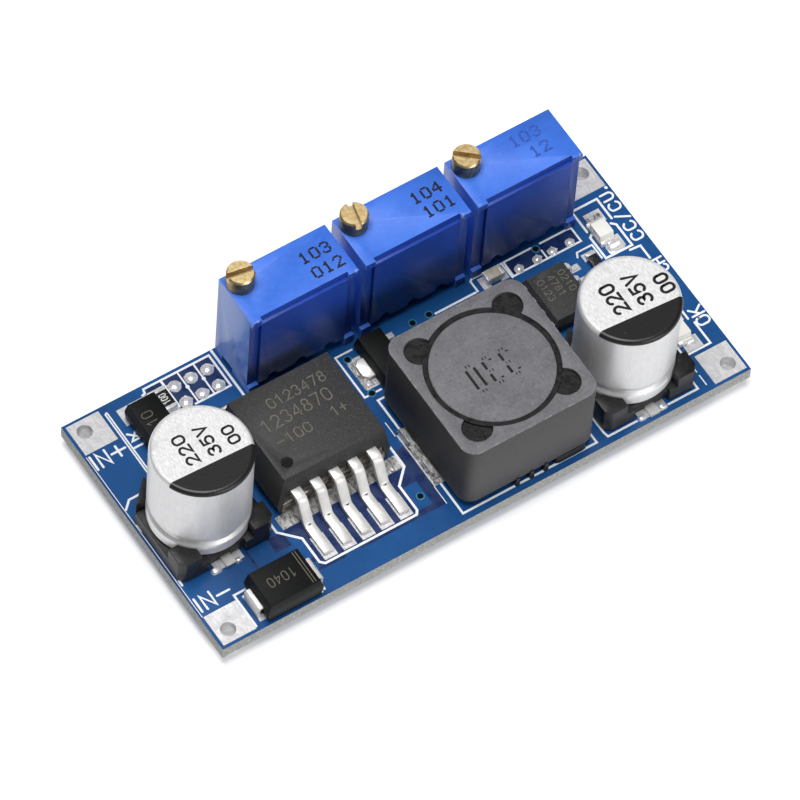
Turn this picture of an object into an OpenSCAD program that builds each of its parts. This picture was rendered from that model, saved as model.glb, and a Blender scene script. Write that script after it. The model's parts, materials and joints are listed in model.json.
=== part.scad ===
// Adjustable buck converter module with constant-voltage and constant-current
// trimpots. Length along X from the input end to the output end, trimpots at +Y,
// Z up, origin under the board's centre at the tips of the soldered pins.
// All sizes are in millimetres.

/* [Board] */
// Length of the circuit board
board_l = 48; // [47:0.5:60]
// Width of the circuit board
board_w = 23; // [22.6:0.2:30]
// Thickness of the circuit board
board_t = 1.2; // [0.8:0.1:2]
// Radius of the four terminal holes, inside their plating
terminal_hole_r = 0.62; // [0.4:0.02:0.8]
// Distance of each terminal hole from its two board edges
terminal_inset = 1.3; // [1.2:0.05:1.6]
// Side of the square terminal pads
terminal_pad = 2.9; // [2.6:0.1:3]
// Distance of each terminal pad from its two board edges
terminal_pad_edge = 0.25; // [0.1:0.05:0.3]
// Thickness of the tinned copper pads
pad_t = 0.06; // [0.04:0.01:0.1]
// Radius of the small via holes
via_r = 0.27; // [0.2:0.01:0.35]

/* [Trimpots] */
// Number of trimpots along the back edge
pot_count = 3; // [3]
// Length of a trimpot housing along the board
pot_l = 9.53; // [9:0.1:9.9]
// Depth of a trimpot housing across the board
pot_d = 4.83; // [4.7:0.05:5]
// Height of a trimpot housing above the board
pot_h = 10.03; // [9.8:0.1:11]
// Height of the corner feet under a trimpot
pot_foot_h = 0.6; // [0.3:0.05:0.8]
// Depth by which the front lid lies behind the corner pads
pot_recess = 0.35; // [0.2:0.05:0.4]
// Thickness of the sealing lid
pot_lid_t = 0.5; // [0.4:0.05:0.55]
// Diameter of a solder pin
pin_d = 0.5; // [0.4:0.02:0.55]
// Distance between neighbouring pins
pin_pitch = 2.54; // [2.4:0.02:2.6]
// Length of pin that stands below the board
pin_proud = 1; // [0.6:0.1:1.6]
// Diameter of the adjusting screw's head
screw_head_d = 2.25; // [1.8:0.05:2.3]
// Height of the adjusting screw's head
screw_head_h = 1.5; // [1:0.1:2]
// Width of the screwdriver slot
screw_slot_w = 0.5; // [0.35:0.05:0.6]
// Depth of the screwdriver slot
screw_slot_h = 0.6; // [0.4:0.05:0.9]
// Number of teeth on the wiper wheel
wheel_teeth = 30; // [30]
// Module of the worm and wheel
gear_module = 0.2; // [0.19:0.005:0.21]
// Pitch radius of the worm
worm_pitch_r = 0.6; // [0.55:0.01:0.65]
// Width of the wiper wheel's rim
wheel_face = 0.9; // [0.7:0.05:0.95]

/* [Switching regulator] */
// Width of the regulator's moulded body at its base
reg_w = 10.2; // [9.6:0.1:10.6]
// Length of the regulator's moulded body at its base
reg_l = 8.4; // [8:0.1:8.7]
// Height of the regulator above its pads
reg_h = 4.45; // [4.2:0.05:4.8]
// Reach of the heat tab behind the body
reg_tab_out = 1.35; // [0.8:0.05:1.4]
// Thickness of the heat tab
reg_tab_t = 1.27; // [1:0.01:1.4]
// Distance between neighbouring regulator leads
reg_pitch = 1.7; // [1.6:0.02:1.8]
// Width of a regulator lead
reg_lead_w = 0.85; // [0.6:0.05:0.95]
// Thickness of the regulator's leads
reg_lead_t = 0.42; // [0.35:0.02:0.5]
// Distance from the body's front face to the lead tips
reg_lead_reach = 4.8; // [4.4:0.1:4.9]

/* [Inductor] */
// Side of the square ferrite shield
ind_side = 12.1; // [11:0.1:12.4]
// Height of the inductor above its pads
ind_h = 7.5; // [6:0.1:8.5]
// Thickness of the shield's wall where the bore comes nearest to its sides
ind_wall = 0.75; // [0.6:0.05:1]
// Gap between the drum core's flanges and the bore, filled with glue
ind_gap = 0.4; // [0.3:0.05:0.6]
// Radius of the four corner scallops in the bore
ind_scallop_r = 1.2; // [1.1:0.05:1.4]
// Depth of the glue below the shield's top
ind_glue_sink = 0.35; // [0.2:0.05:0.6]
// Height of the moulded base under the shield
ind_base_h = 0.65; // [0.6:0.05:1.2]

/* [Electrolytic capacitors] */
// Diameter of the aluminium cans
cap_d = 8.1; // [7.8:0.1:8.4]
// Height of the cans' tops above their pads
cap_h = 10.2; // [8:0.1:12]
// Side of the square plastic bases
cap_base = 8.4; // [8.2:0.1:8.8]
// Height of the plastic bases under the cans
cap_base_h = 1.3; // [1:0.1:1.8]
// Height of the bases' raised corners
cap_post_h = 2.5; // [2.1:0.1:2.8]

/* [Diodes] */
// Length of the large diode's body
smb_l = 5; // [4.6:0.1:5.2]
// Width of the large diode's body
smb_w = 3.5; // [3.2:0.1:3.7]
// Height of the large diode's body
smb_h = 2.1; // [1.8:0.1:2.4]
// Length of the small diode's body
sma_l = 4.3; // [4:0.1:4.5]
// Width of the small diode's body
sma_w = 2.7; // [2.5:0.1:2.8]
// Height of the small diode's body
sma_h = 2; // [1.8:0.1:2.3]

/* [Small parts] */
// Length of the eight-lead amplifier's body
amp_l = 4.9; // [4.7:0.05:5]
// Width of the eight-lead amplifier's body
amp_w = 3.8; // [3.7:0.05:3.95]
// Height of the eight-lead amplifier
amp_h = 1.55; // [1.4:0.05:1.7]
// Length of the three-lead reference's body
ref_l = 4.4; // [4.2:0.05:4.5]
// Width of the three-lead reference's body
ref_w = 2.4; // [2.2:0.05:2.5]
// Height of the three-lead reference
ref_h = 1.5; // [1.3:0.05:1.6]
// Length of the indicator lamps
led_l = 2.3; // [2:0.1:3.2]
// Width of the indicator lamps
led_w = 1.3; // [1.2:0.1:1.6]

/* [Hidden] */

$fn = 48;
// Gap left between pieces that fit inside one another
seat_gap = 0.03;
// Running clearance round the turning pieces
run_gap = 0.05;
// Thickness of the copper sleeve in a plated hole
plating_t = 0.05;
board_top = pin_proud + board_t;
land_top = board_top + pad_t;

// Free length along the board after the four big parts and the lamp column
lamp_column = 3.9;
spare_l = board_l - 2 * cap_base - reg_w - ind_side - lamp_column;
cap_in_x = 0.06 * spare_l + cap_base / 2;
reg_x = cap_in_x + cap_base / 2 + 0.205 * spare_l + reg_w / 2;
ind_x = reg_x + reg_w / 2 + 0.435 * spare_l + ind_side / 2;
cap_out_x = ind_x + ind_side / 2 + 0.19 * spare_l + cap_base / 2;
lamp_x = board_l - 2.65;

// Front face of the trimpot row, and the row of small parts just before it
pot_back_edge = 0.2;
pot_front_y = board_w - pot_back_edge - pot_d;
pot_x0 = reg_x - 1.1;
pot_pitch = pot_l + 0.67;
small_row_y = pot_front_y - 1;
front_edge = 0.7;
ind_y = front_edge + ind_side / 2;
ind_back_y = front_edge + ind_side;
ind_bore_d = ind_side - 2 * ind_wall;
ind_drum_d = ind_bore_d - 2 * ind_gap;
cap_out_y = front_edge + 0.15 + cap_base / 2;
cap_in_y = cap_out_y + 5.55;
reg_front_y = pot_front_y - 0.5 - reg_l - reg_tab_out;
// Half width of the heat tab, the step at its front and the leads' sideways set on their lands
reg_tab_half = reg_w / 2 - 0.5;
reg_step_l = 1;
reg_step_h = 2;
reg_lead_set = -0.1;

// Trimpot sizes, measured from the housing's front left bottom corner
pot_wall = 0.45;
pin_y = pot_recess + pot_lid_t + 0.1 + pin_d / 2;
element_y = pin_y + pin_d / 2;
element_t = 0.55;
screw_x = 1.2;
screw_y = pot_d - 1.15;
wheel_r = gear_module * wheel_teeth / 2;
worm_lead = PI * gear_module;
tooth_up = 0.16;
tooth_down = 0.21;
wheel_x = screw_x + worm_pitch_r + wheel_r;
wheel_z = pot_h / 2 - 0.05;
worm_tip_r = worm_pitch_r + tooth_up;
worm_root_r = worm_pitch_r - tooth_down;
tooth_w = 0.25;
worm_turns = 6;
worm_bottom = wheel_z - worm_turns * worm_lead / 2;
worm_top = wheel_z + worm_turns * worm_lead / 2;
neck_r = 0.62;
neck_bore_r = neck_r + run_gap;
ring_groove_r = 0.44;
ring_wire_r = 0.1;
ring_z = pot_h - 0.75;
journal_r = 0.55;
screw_slot_angles = [-10, 77, -41];
lead_angle = atan(gear_module / (2 * worm_pitch_r));

function pot_x(i) = pot_x0 + i * pot_pitch;
function pot_pin_xs(i) = [for (k = [-1 : 1]) pot_x(i) + pot_l / 2 + k * pin_pitch];
function pot_pin_holes() =
    [for (i = [0 : pot_count - 1], x = pot_pin_xs(i)) [x, pot_front_y + pin_y]];
pin_hole_r = pin_d / 2 + 0.15;

terminals = [for (x = [terminal_inset, board_l - terminal_inset],
                  y = [terminal_inset, board_w - terminal_inset]) [x, y]];
vias = [[reg_x + 5.2, 3.6], [reg_x + 7.05, 13.25], [reg_x + 7.1, small_row_y - 0.2],
        [ind_x - 0.15, small_row_y], [ind_x + 1.35, small_row_y],
        [cap_out_x + 0.5, small_row_y + 0.75]];
// Rows of solder bumps: two by three near the input, four in line near the output
bumps = concat(
    [for (x = [-4.38, -2.9, -1.44], y = [1.37, 3.03]) [pot_x0 + x, board_w - y, 0.54]],
    [for (x = [-1.6, 0.08, 1.48, 3.1]) [cap_out_x + x, small_row_y - 0.1, 0.4]]);
bump_h = 0.24;

diode_in = [cap_in_x + 2.1, 1.9];
diode_back = [pot_x0 - 7.9, board_w - 4];
ref_at = [ind_x - ind_side / 2 + 1.95, (ind_back_y + pot_front_y) / 2 - 0.16];
amp_at = [cap_out_x - 0.65, cap_out_y + cap_base / 2 + 1.05 + amp_l / 2];
// Middles of the lamps' pairs of lands, and the lamps' shift from them
lamps = [[lamp_x, cap_out_y + 0.6], [lamp_x, cap_out_y + 5.7], [lamp_x, board_w - 6.6]];
lamp_shift = [-0.4, -0.15];
lamp_land_reach = 1.95;
// Chip parts: place, length, width and the turn of the long side from X
resistors = [[[pot_x0 - 5.85, board_w - 2.2], 2, 1.2, 90],
             [[lamp_x - 2.35, board_w - 8.75], 1.6, 0.8, 90],
             [[lamp_x - 2.35, cap_out_y + 6.1], 1.6, 0.8, 90]];
capacitors = [[[ind_x + 7.4, small_row_y + 0.2], 1.6, 0.85, 0],
              [[ind_x + 3.4, small_row_y - 1.9], 2, 1.25, 0]];
chip_h = 0.55;
chip_cap_h = 0.85;

module at_board(p, z = board_top) {
    translate([p[0] - board_l / 2, p[1] - board_w / 2, z]) children();
}

module at_pot(i) {
    at_board([pot_x(i), pot_front_y]) children();
}

// Block with four chamfered upright edges, standing on the origin's plane
module bevelled_block(size, bevel) {
    x = size[0] / 2;
    y = size[1] / 2;
    linear_extrude(size[2])
        polygon([[-x + bevel, -y], [x - bevel, -y], [x, -y + bevel], [x, y - bevel],
                 [x - bevel, y], [-x + bevel, y], [-x, y - bevel], [-x, -y + bevel]]);
}

// Upright round-cornered plate
module round_plate(side, corner, height) {
    linear_extrude(height) {
        square([side - 2 * corner, side], center = true);
        square([side, side - 2 * corner], center = true);
        for (x = [-1, 1], y = [-1, 1])
            translate([x, y] * (side / 2 - corner)) circle(corner);
    }
}

// Moulded body whose sides lean in from a parting line to the top, by drafts along X and Y
module moulded_body(size, drafts, parting) {
    intersection() {
        rotate([90, 0, 0])
            linear_extrude(size[1], center = true)
                polygon(leaning_profile(size[0] / 2, size[2], drafts[0], parting));
        rotate([90, 0, 90])
            linear_extrude(size[0], center = true)
                polygon(leaning_profile(size[1] / 2, size[2], drafts[1], parting));
    }
}

function leaning_profile(half, height, draft, parting) =
    [[-half + draft / 2, 0], [half - draft / 2, 0], [half, parting], [half - draft, height],
     [-half + draft, height], [-half, parting]];

// Bent strip: an outline in the YZ plane given its width along X
module strip(points, width) {
    rotate([90, 0, 90]) linear_extrude(width, center = true) polygon(points);
}

// Heading of a path at one of its points, and the path made into a band of thickness t
function heading(path, i) =
    let (step = path[min(i + 1, len(path) - 1)] - path[max(i - 1, 0)]) step / norm(step);
function aside(path, i, d) = path[i] + d * [-heading(path, i)[1], heading(path, i)[0]];
function band(path, t) =
    let (last = len(path) - 1)
    concat([for (i = [0 : last]) aside(path, i, t / 2)],
           [for (i = [last : -1 : 0]) aside(path, i, -t / 2)]);

// Middle line of a lead that leaves a body at height z, bends down at the shoulder,
// leans out and bends back to a foot that ends at reach
function gull_wing(root, shoulder, z, r, lean, reach, t) =
    let (turn = 90 - lean, steps = 4, low = t / 2 + r,
         fall = z - r + r * cos(turn) - (low - r * cos(turn)),
         heel = shoulder + 2 * r * sin(turn) + fall * tan(lean))
    concat([[root, z]],
           [for (k = [0 : steps]) let (a = turn * k / steps)
               [shoulder + r * sin(a), z - r + r * cos(a)]],
           [for (k = [steps : -1 : 0]) let (a = turn * k / steps)
               [heel - r * sin(a), low - r * cos(a)]],
           [[reach, t / 2]]);

// --- circuit board -------------------------------------------------------

module circuit_board() {
    color("#1f5aa6")
        difference() {
            at_board([0, 0], pin_proud) cube([board_l, board_w, board_t]);
            for (p = terminals)
                board_hole(p, terminal_hole_r + plating_t + seat_gap);
            for (p = pot_pin_holes())
                board_hole(p, pin_hole_r);
            for (p = vias)
                board_hole(p, via_r + plating_t + seat_gap);
        }
}

module board_hole(p, r) {
    at_board(p, pin_proud - 1) cylinder(r = r, h = board_t + 2);
}

module plated_sleeve(p, r) {
    difference() {
        union() {
            at_board(p, pin_proud) cylinder(r = r + plating_t, h = board_t);
            children();
        }
        at_board(p, pin_proud - 1) cylinder(r = r, h = board_t + 2);
    }
}

module terminal_pads() {
    c = terminal_pad_edge + terminal_pad / 2;
    color("#d9dadb")
        for (sx = [0, 1], sy = [0, 1]) {
            hole = terminals[2 * sx + sy];
            pad = [sx == 0 ? c : board_l - c, sy == 0 ? c : board_w - c];
            plated_sleeve(hole, terminal_hole_r)
                for (z = [pin_proud - pad_t, board_top])
                    at_board(pad - [1, 1] * terminal_pad / 2, z)
                        cube([terminal_pad, terminal_pad, pad_t]);
        }
}

// Flat land for a soldered end, centred on p
module land(p, l, w) {
    at_board(p - [l, w] / 2) cube([l, w, pad_t]);
}

module chip_lands(chip) {
    along = chip[3] == 0 ? [1, 0] : [0, 1];
    for (s = [-1, 1])
        land(chip[0] + s * along * chip[1] / 2, chip[3] == 0 ? 0.7 : chip[2] + 0.25,
             chip[3] == 0 ? chip[2] + 0.25 : 0.7);
}

module solder_pads() {
    color("#cfd0d2") {
        // regulator: lead lands and the wide heat land
        for (k = [-2 : 2])
            land([reg_x + k * reg_pitch - 0.05, reg_front_y - reg_lead_reach + 0.75], 1.15, 2.2);
        land([reg_x + 0.1, reg_front_y - 0.65], reg_w + 0.6, 1.2);
        land([reg_x, reg_front_y + (reg_l + reg_tab_out) / 2 - 0.1], 2 * reg_tab_half - 0.6,
             reg_l + reg_tab_out + 0.2);
        // inductor
        for (s = [-1, 1])
            land([ind_x + s * ind_side / 2, ind_y - 0.33], 1.4, 5.3);
        // capacitors
        for (c = [[cap_in_x, cap_in_y], [cap_out_x, cap_out_y]], s = [-1, 1])
            land(c + [0, s * (cap_base / 2 - 1.1)], 2.5, 3);
        // diodes
        for (s = [-1, 1]) {
            land(diode_in + [s * (smb_l / 2 - 0.35), 0], 1.5, 2.6);
            land(diode_back + [0, s * (sma_l / 2 + 0.1)], 3, 1.6);
        }
        // three-lead reference: wide tab land and three lead lands
        land(ref_at + [-ref_w / 2 - 0.55, -0.1], 1.2, 3);
        for (k = [-1 : 1])
            land(ref_at + [ref_w / 2 + 0.45, k * 1.5], 0.9, 0.6);
        // eight-lead amplifier
        for (s = [-1, 1], k = [-1.5 : 1.5])
            land(amp_at + [s * (amp_w / 2 + 0.75), k * 1.27], 1, 0.6);
        for (chip = concat(resistors, capacitors))
            chip_lands(chip);
        for (p = lamps)
            for (s = [-1, 1])
                land(p + [0, s * (lamp_land_reach - 0.6)], led_w + 0.15, 1.2);
        // rings round the vias, joined through the board
        for (p = vias)
            plated_sleeve(p, via_r)
                for (z = [pin_proud - pad_t, board_top])
                    at_board(p, z) cylinder(r = via_r + 0.07, h = pad_t);
        // rings round the trimpot pins, on the underside
        for (p = pot_pin_holes())
            difference() {
                at_board(p, pin_proud - pad_t) cylinder(r = 0.9, h = pad_t);
                at_board(p, pin_proud - 1) cylinder(r = pin_hole_r, h = 2);
            }
    }
}

module solder_bumps() {
    color("#d4d4d6")
        for (p = bumps) {
            ball_r = (p[2] * p[2] + bump_h * bump_h) / (2 * bump_h);
            at_board(p)
                intersection() {
                    translate([0, 0, bump_h - ball_r]) sphere(ball_r);
                    cylinder(r = p[2] + 1, h = bump_h + 1);
                }
        }
}

// --- trimpots ------------------------------------------------------------

module pot_housing(i) {
    corner = [0.85, 0.7];
    color("#2f63e6")
        at_pot(i) {
            difference() {
                union() {
                    translate([0, pot_recess, pot_foot_h])
                        cube([pot_l, pot_d - pot_recess, pot_h - pot_foot_h]);
                    // corner pads of the front face and the four feet
                    for (x = [0, pot_l - corner[0]]) {
                        translate([x, 0, pot_h - corner[1]])
                            cube([corner[0], pot_d / 2, corner[1]]);
                        translate([x, 0, 0]) cube([corner[0], pot_d / 2, corner[1] + 0.3]);
                        translate([x, pot_d - 1, 0]) cube([corner[0], 1, corner[1]]);
                    }
                }
                // pocket for the lid, the pins and the element
                translate([corner[0], -1, 1]) cube([pot_l - 2 * corner[0], element_y + element_t + 1,
                                                    pot_h - 1.6]);
                pot_pin_notches(element_y + element_t);
                // wheel chamber
                translate([wheel_x, element_y, wheel_z])
                    rotate([-90, 0, 0])
                        cylinder(r = wheel_r + tooth_up + 0.15,
                                 h = screw_y + wheel_face / 2 + run_gap - element_y);
                // journal bearing in the back wall
                translate([wheel_x, pot_d / 2, wheel_z])
                    rotate([-90, 0, 0]) cylinder(r = journal_r + run_gap, h = pot_d / 2 - 0.25);
                // channel for the worm, and the bore for the neck
                translate([screw_x, screw_y, worm_bottom - 0.3])
                    cylinder(r = worm_tip_r + run_gap, h = worm_top - worm_bottom + 0.6);
                translate([screw_x, screw_y, worm_top]) cylinder(r = neck_bore_r, h = pot_h);
            }
        }
}

// Three notches in the lower front edge where the pins come out
module pot_pin_notches(depth) {
    for (k = [-1 : 1])
        translate([pot_l / 2 + k * pin_pitch, -1, 0])
            union() {
                translate([-pin_d, 0, 0]) cube([2 * pin_d, depth + 1, 1.05]);
                translate([0, 0, 1.05]) rotate([-90, 0, 0]) cylinder(r = pin_d, h = depth + 1);
            }
}

module pot_lid(i) {
    side = 0.85 + seat_gap;
    color("#1d3fa8")
        at_pot(i)
            difference() {
                translate([side, pot_recess, 1 + seat_gap])
                    cube([pot_l - 2 * side, pot_lid_t, pot_h - 1.6 - 2 * seat_gap]);
                pot_pin_notches(pot_recess + pot_lid_t);
            }
}

module pot_pins(i) {
    color("#c9c6bd")
        at_pot(i)
            for (k = [-1 : 1])
                translate([pot_l / 2 + k * pin_pitch, pin_y, -board_top])
                    cylinder(d = pin_d, h = board_top + 3);
}

module pot_element(i) {
    color("#e9e3d2")
        at_pot(i)
            translate([0.85 + seat_gap, element_y, 1.6])
                cube([pot_l - 2 * (0.85 + seat_gap), element_t - seat_gap, pot_h - 2.3]);
}

// Ring of points of the worm thread at turn angle a
function thread_ring(a, z) =
    [for (p = [[worm_root_r - 0.04, -tooth_w / 2 - 0.1], [worm_tip_r, -tooth_w / 2 + 0.06],
               [worm_tip_r, tooth_w / 2 - 0.06], [worm_root_r - 0.04, tooth_w / 2 + 0.1]])
        [p[0] * cos(a), p[0] * sin(a), z + p[1]]];

// One thread start, swept round the worm; the tooth space faces the wheel at a = 0
module worm_thread() {
    steps = 16;
    count = (worm_turns - 1) * steps;
    points = [for (s = [0 : count])
        each thread_ring(s * 360 / steps,
                         wheel_z + worm_lead * (s / steps - (worm_turns - 1) / 2))];
    sides = [for (s = [0 : count - 1], k = [0 : 3])
        [4 * s + k, 4 * s + (k + 1) % 4, 4 * s + 4 + (k + 1) % 4, 4 * s + 4 + k]];
    polyhedron(points, concat([[3, 2, 1, 0]], sides,
                              [[for (k = [0 : 3]) 4 * count + k]]), convexity = 8);
}

module pot_screw(i) {
    color("#c79a3f")
        at_pot(i)
            translate([screw_x, screw_y, 0]) {
                worm_thread();
                translate([0, 0, worm_bottom]) cylinder(r = worm_root_r, h = worm_top - worm_bottom);
                rotate([0, 0, screw_slot_angles[i]])
                    difference() {
                        rotate_extrude()
                            polygon(screw_profile());
                        translate([-screw_head_d, -screw_slot_w / 2,
                                   pot_h + run_gap + screw_head_h - screw_slot_h])
                            cube([2 * screw_head_d, screw_slot_w, screw_slot_h + 1]);
                    }
            }
}

// Half section of the screw's neck, ring groove and head
function screw_profile() =
    let (head_z = pot_h + run_gap, top_z = head_z + screw_head_h, head_r = screw_head_d / 2,
         groove = ring_wire_r + 0.05)
    [[0, worm_top - 0.05], [neck_r, worm_top - 0.05 + (neck_r - worm_root_r)],
     [neck_r, ring_z - groove], [ring_groove_r, ring_z - groove], [ring_groove_r, ring_z + groove],
     [neck_r, ring_z + groove], [neck_r, head_z], [head_r - 0.05, head_z],
     [head_r, head_z + 0.05], [head_r, top_z - 0.12], [head_r - 0.12, top_z], [0, top_z]];

module pot_o_ring(i) {
    color("#26262a")
        at_pot(i)
            translate([screw_x, screw_y, ring_z])
                rotate_extrude()
                    translate([ring_groove_r + ring_wire_r + 0.01, 0]) circle(ring_wire_r, $fn = 24);
}

module pot_wheel(i) {
    front = screw_y - wheel_face / 2;
    color("#e8e6df")
        at_pot(i)
            translate([wheel_x, front, wheel_z]) {
                rotate([-90, 0, 0]) cylinder(r = wheel_r - tooth_down, h = wheel_face, $fn = 96);
                // journal in the back wall
                translate([0, wheel_face - 0.1, 0]) rotate([-90, 0, 0])
                    cylinder(r = journal_r, h = pot_d - 0.3 - screw_y - wheel_face / 2 + 0.1 - run_gap);
                for (k = [0 : wheel_teeth - 1])
                    rotate([0, k * 360 / wheel_teeth, 0])
                        translate([-wheel_r, wheel_face / 2, 0])
                            rotate([lead_angle, 0, 0])
                                wheel_tooth();
            }
}

// Straight-sided tooth, pointing along -X, lying along Y
module wheel_tooth() {
    length = wheel_face / cos(lead_angle);
    rotate([90, 0, 0])
        linear_extrude(length - 0.08, center = true)
            polygon([[0.28, -tooth_w / 2 - 0.08], [-tooth_up, -tooth_w / 2 + 0.06],
                     [-tooth_up, tooth_w / 2 - 0.06], [0.28, tooth_w / 2 + 0.08]]);
}

// Spring contact carried on the wheel's front face
module pot_wiper(i) {
    gap_y = screw_y - wheel_face / 2 - element_y - element_t;
    front = screw_y - wheel_face / 2;
    color("#b08d4c")
        at_pot(i)
            translate([wheel_x, front, wheel_z]) {
                rotate([90, 0, 0]) cylinder(r = 1.2, h = 0.1);
                translate([-0.4, -0.1, -2.6]) cube([0.8, 0.1, 2.6]);
                translate([0, 0, -2.6])
                    strip([[0, 0], [0, 0.3], [-gap_y + 0.15, 0.55], [-gap_y + 0.06, 0.3]], 0.8);
            }
}

module trimpot_solder() {
    top = pin_proud - pad_t;
    r = pin_d / 2 + seat_gap;
    color("#d4d4d6")
        for (p = pot_pin_holes())
            at_board(p, 0)
                rotate_extrude()
                    polygon([[r, top], [0.85, top], [0.62, top - 0.16], [0.42, top - 0.42],
                             [r + 0.06, 0.12], [r, 0.12]]);
}

// --- switching regulator ---------------------------------------------------

module regulator_body() {
    color("#2b2c2e")
        at_board([reg_x, reg_front_y + reg_l / 2], land_top)
            difference() {
                translate([0, 0, 0.05]) moulded_body([reg_w, reg_l, reg_h - 0.05], [0.62, 0.2], 1.3);
                // room for the heat tab and for the step at its front
                room(reg_tab_half, reg_l, reg_tab_t);
                translate([0, -reg_l, 0]) room(reg_tab_half - 0.2, reg_l + 2 * reg_step_l, reg_step_h);
                // slots for the lead roots
                for (k = [-2 : 2])
                    translate([k * reg_pitch + reg_lead_set - reg_lead_w / 2 - seat_gap,
                               -reg_l / 2 - 1, 2.2 - seat_gap])
                        cube([reg_lead_w + 2 * seat_gap, 2, reg_lead_t + 2 * seat_gap]);
                // ejector mark near the front left corner
                translate([-reg_w / 2 + 1.65, -reg_l / 2 + 1.46, reg_h - 0.3])
                    cylinder(r = 0.48, h = 1);
            }
}

// Space for a plate of the given half width, length and thickness, with the seating gap
module room(half, len, thick) {
    translate([-half - seat_gap, -len / 2 - seat_gap, -1])
        cube([2 * (half + seat_gap), len + 2 * seat_gap, thick + 1 + seat_gap]);
}

module regulator_tab() {
    half = reg_tab_half;
    color("#b9babc")
        at_board([reg_x, reg_front_y], land_top) {
            translate([-half, 0, 0]) cube([2 * half, reg_l - 0.3, reg_tab_t]);
            translate([-half + 0.35, 0, 0]) cube([2 * half - 0.7, reg_l + reg_tab_out, reg_tab_t]);
            // step that shows below the leads
            translate([-half + 0.2, 0.14, 0]) cube([2 * half - 0.4, reg_step_l - 0.14, reg_step_h]);
        }
}

module regulator_leads() {
    t = reg_lead_t;
    color("#c4c5c7")
        for (k = [-2 : 2])
            at_board([reg_x + k * reg_pitch + reg_lead_set, reg_front_y], land_top)
                mirror([0, 1, 0])
                    strip(band(gull_wing(-0.9, 0.45, 2.2 + t / 2, 0.55, 27, reg_lead_reach, t), t),
                          reg_lead_w);
}

// --- inductor ----------------------------------------------------------------

module inductor_shield() {
    z = ind_base_h;
    color("#6f7074")
        at_board([ind_x, ind_y], land_top)
            difference() {
                translate([0, 0, z]) round_plate(ind_side, 1.25, ind_h - z);
                translate([0, 0, z - 1]) cylinder(d = ind_bore_d, h = ind_h + 2, $fn = 96);
                translate([0, 0, z - 1]) scallops(ind_scallop_r, ind_h + 2);
            }
}

module inductor_drum() {
    z = ind_base_h + seat_gap;
    r = ind_drum_d / 2;
    waist = r * 0.42;
    top = ind_h - 0.05;
    color("#77787c")
        at_board([ind_x, ind_y], land_top)
            rotate_extrude($fn = 96)
                polygon([[0, z], [r, z], [r, z + 1.1], [waist, z + 1.35], [waist, top - 1.55],
                         [r, top - 1.3], [r, top - 0.08], [r - 0.08, top], [0, top]]);
}

// Black glue between the drum's upper flange and the bore, and in the scallops
module inductor_glue() {
    flange_z = ind_h - 1.35;
    top = ind_h - ind_glue_sink;
    color("#17181a")
        at_board([ind_x, ind_y], land_top)
            difference() {
                union() {
                    translate([0, 0, flange_z])
                        cylinder(d = ind_bore_d - 2 * seat_gap, h = top + 0.2 - flange_z, $fn = 96);
                    translate([0, 0, flange_z]) scallops(ind_scallop_r - seat_gap, top - flange_z);
                }
                translate([0, 0, flange_z - 1])
                    cylinder(d = ind_drum_d + 2 * seat_gap, h = 4, $fn = 96);
            }
}

module scallops(r, h) {
    for (a = [45 : 90 : 315])
        rotate([0, 0, a]) translate([ind_bore_d / 2 + 0.35, 0, 0]) cylinder(r = r, h = h);
}

module inductor_winding() {
    z = ind_base_h + seat_gap + 1.35;
    r = ind_drum_d / 2;
    wire = 0.42;
    rows = floor((ind_h - 0.05 - 1.6 - z) / wire);
    color("#b4622a")
        at_board([ind_x, ind_y], land_top + z)
            rotate_extrude($fn = 64)
                polygon(concat([[r * 0.42 + seat_gap, 0.03]],
                               [for (k = [0 : rows - 1]) each
                                   [[r - 0.75, 0.03 + k * wire], [r - 0.55, 0.03 + (k + 0.5) * wire]]],
                               [[r - 0.75, 0.03 + rows * wire], [r * 0.42 + seat_gap, 0.03 + rows * wire]]));
}

module inductor_base() {
    color("#1c1c1e")
        at_board([ind_x, ind_y], land_top)
            union() {
                translate([0, 0, 0.3]) round_plate(ind_side - 0.9, 1, ind_base_h - 0.3);
                // feet along the two open sides
                for (s = [-1, 1], k = [-2 : 2])
                    translate([k * 2.2, s * (ind_side / 2 - 1), 0]) cylinder(r = 0.55, h = 0.5);
            }
}

module inductor_terminals() {
    out = ind_side / 2 + 0.55;
    color("#c8c8ca")
        at_board([ind_x, ind_y], land_top)
            for (s = [-1, 1])
                mirror([s < 0 ? 1 : 0, 0, 0]) {
                    translate([ind_side / 2 - 1.2, -2.5, 0]) cube([1.75, 5, 0.25]);
                    // turned-up ends that hold the wire
                    for (y = [-1.6, 1.6])
                        translate([out - 0.2, y - 0.7, 0.1]) cube([0.2, 1.4, 0.75]);
                }
}

// --- electrolytic capacitors ---------------------------------------------------

// Half section of a can: rolled rim, crimped groove and rounded top edge
function can_profile() =
    let (r = cap_d / 2, z = cap_base_h + 0.02, top = cap_h, groove = z + 1.6)
    concat([[0, z], [r - 0.3, z], [r - 0.08, z + 0.1], [r, z + 0.3], [r, groove - 0.6],
            [r - 0.06, groove - 0.4], [r - 0.28, groove - 0.15], [r - 0.32, groove],
            [r - 0.28, groove + 0.15], [r - 0.1, groove + 0.45], [r - 0.04, groove + 0.75]],
           [for (a = [0 : 15 : 90]) [r - 0.45 + 0.41 * cos(a), top - 0.4 + 0.4 * sin(a)]],
           [[0, top]]);

module capacitor_can(p) {
    color("#c9cacc")
        at_board(p, land_top) rotate_extrude($fn = 96) polygon(can_profile());
}

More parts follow.
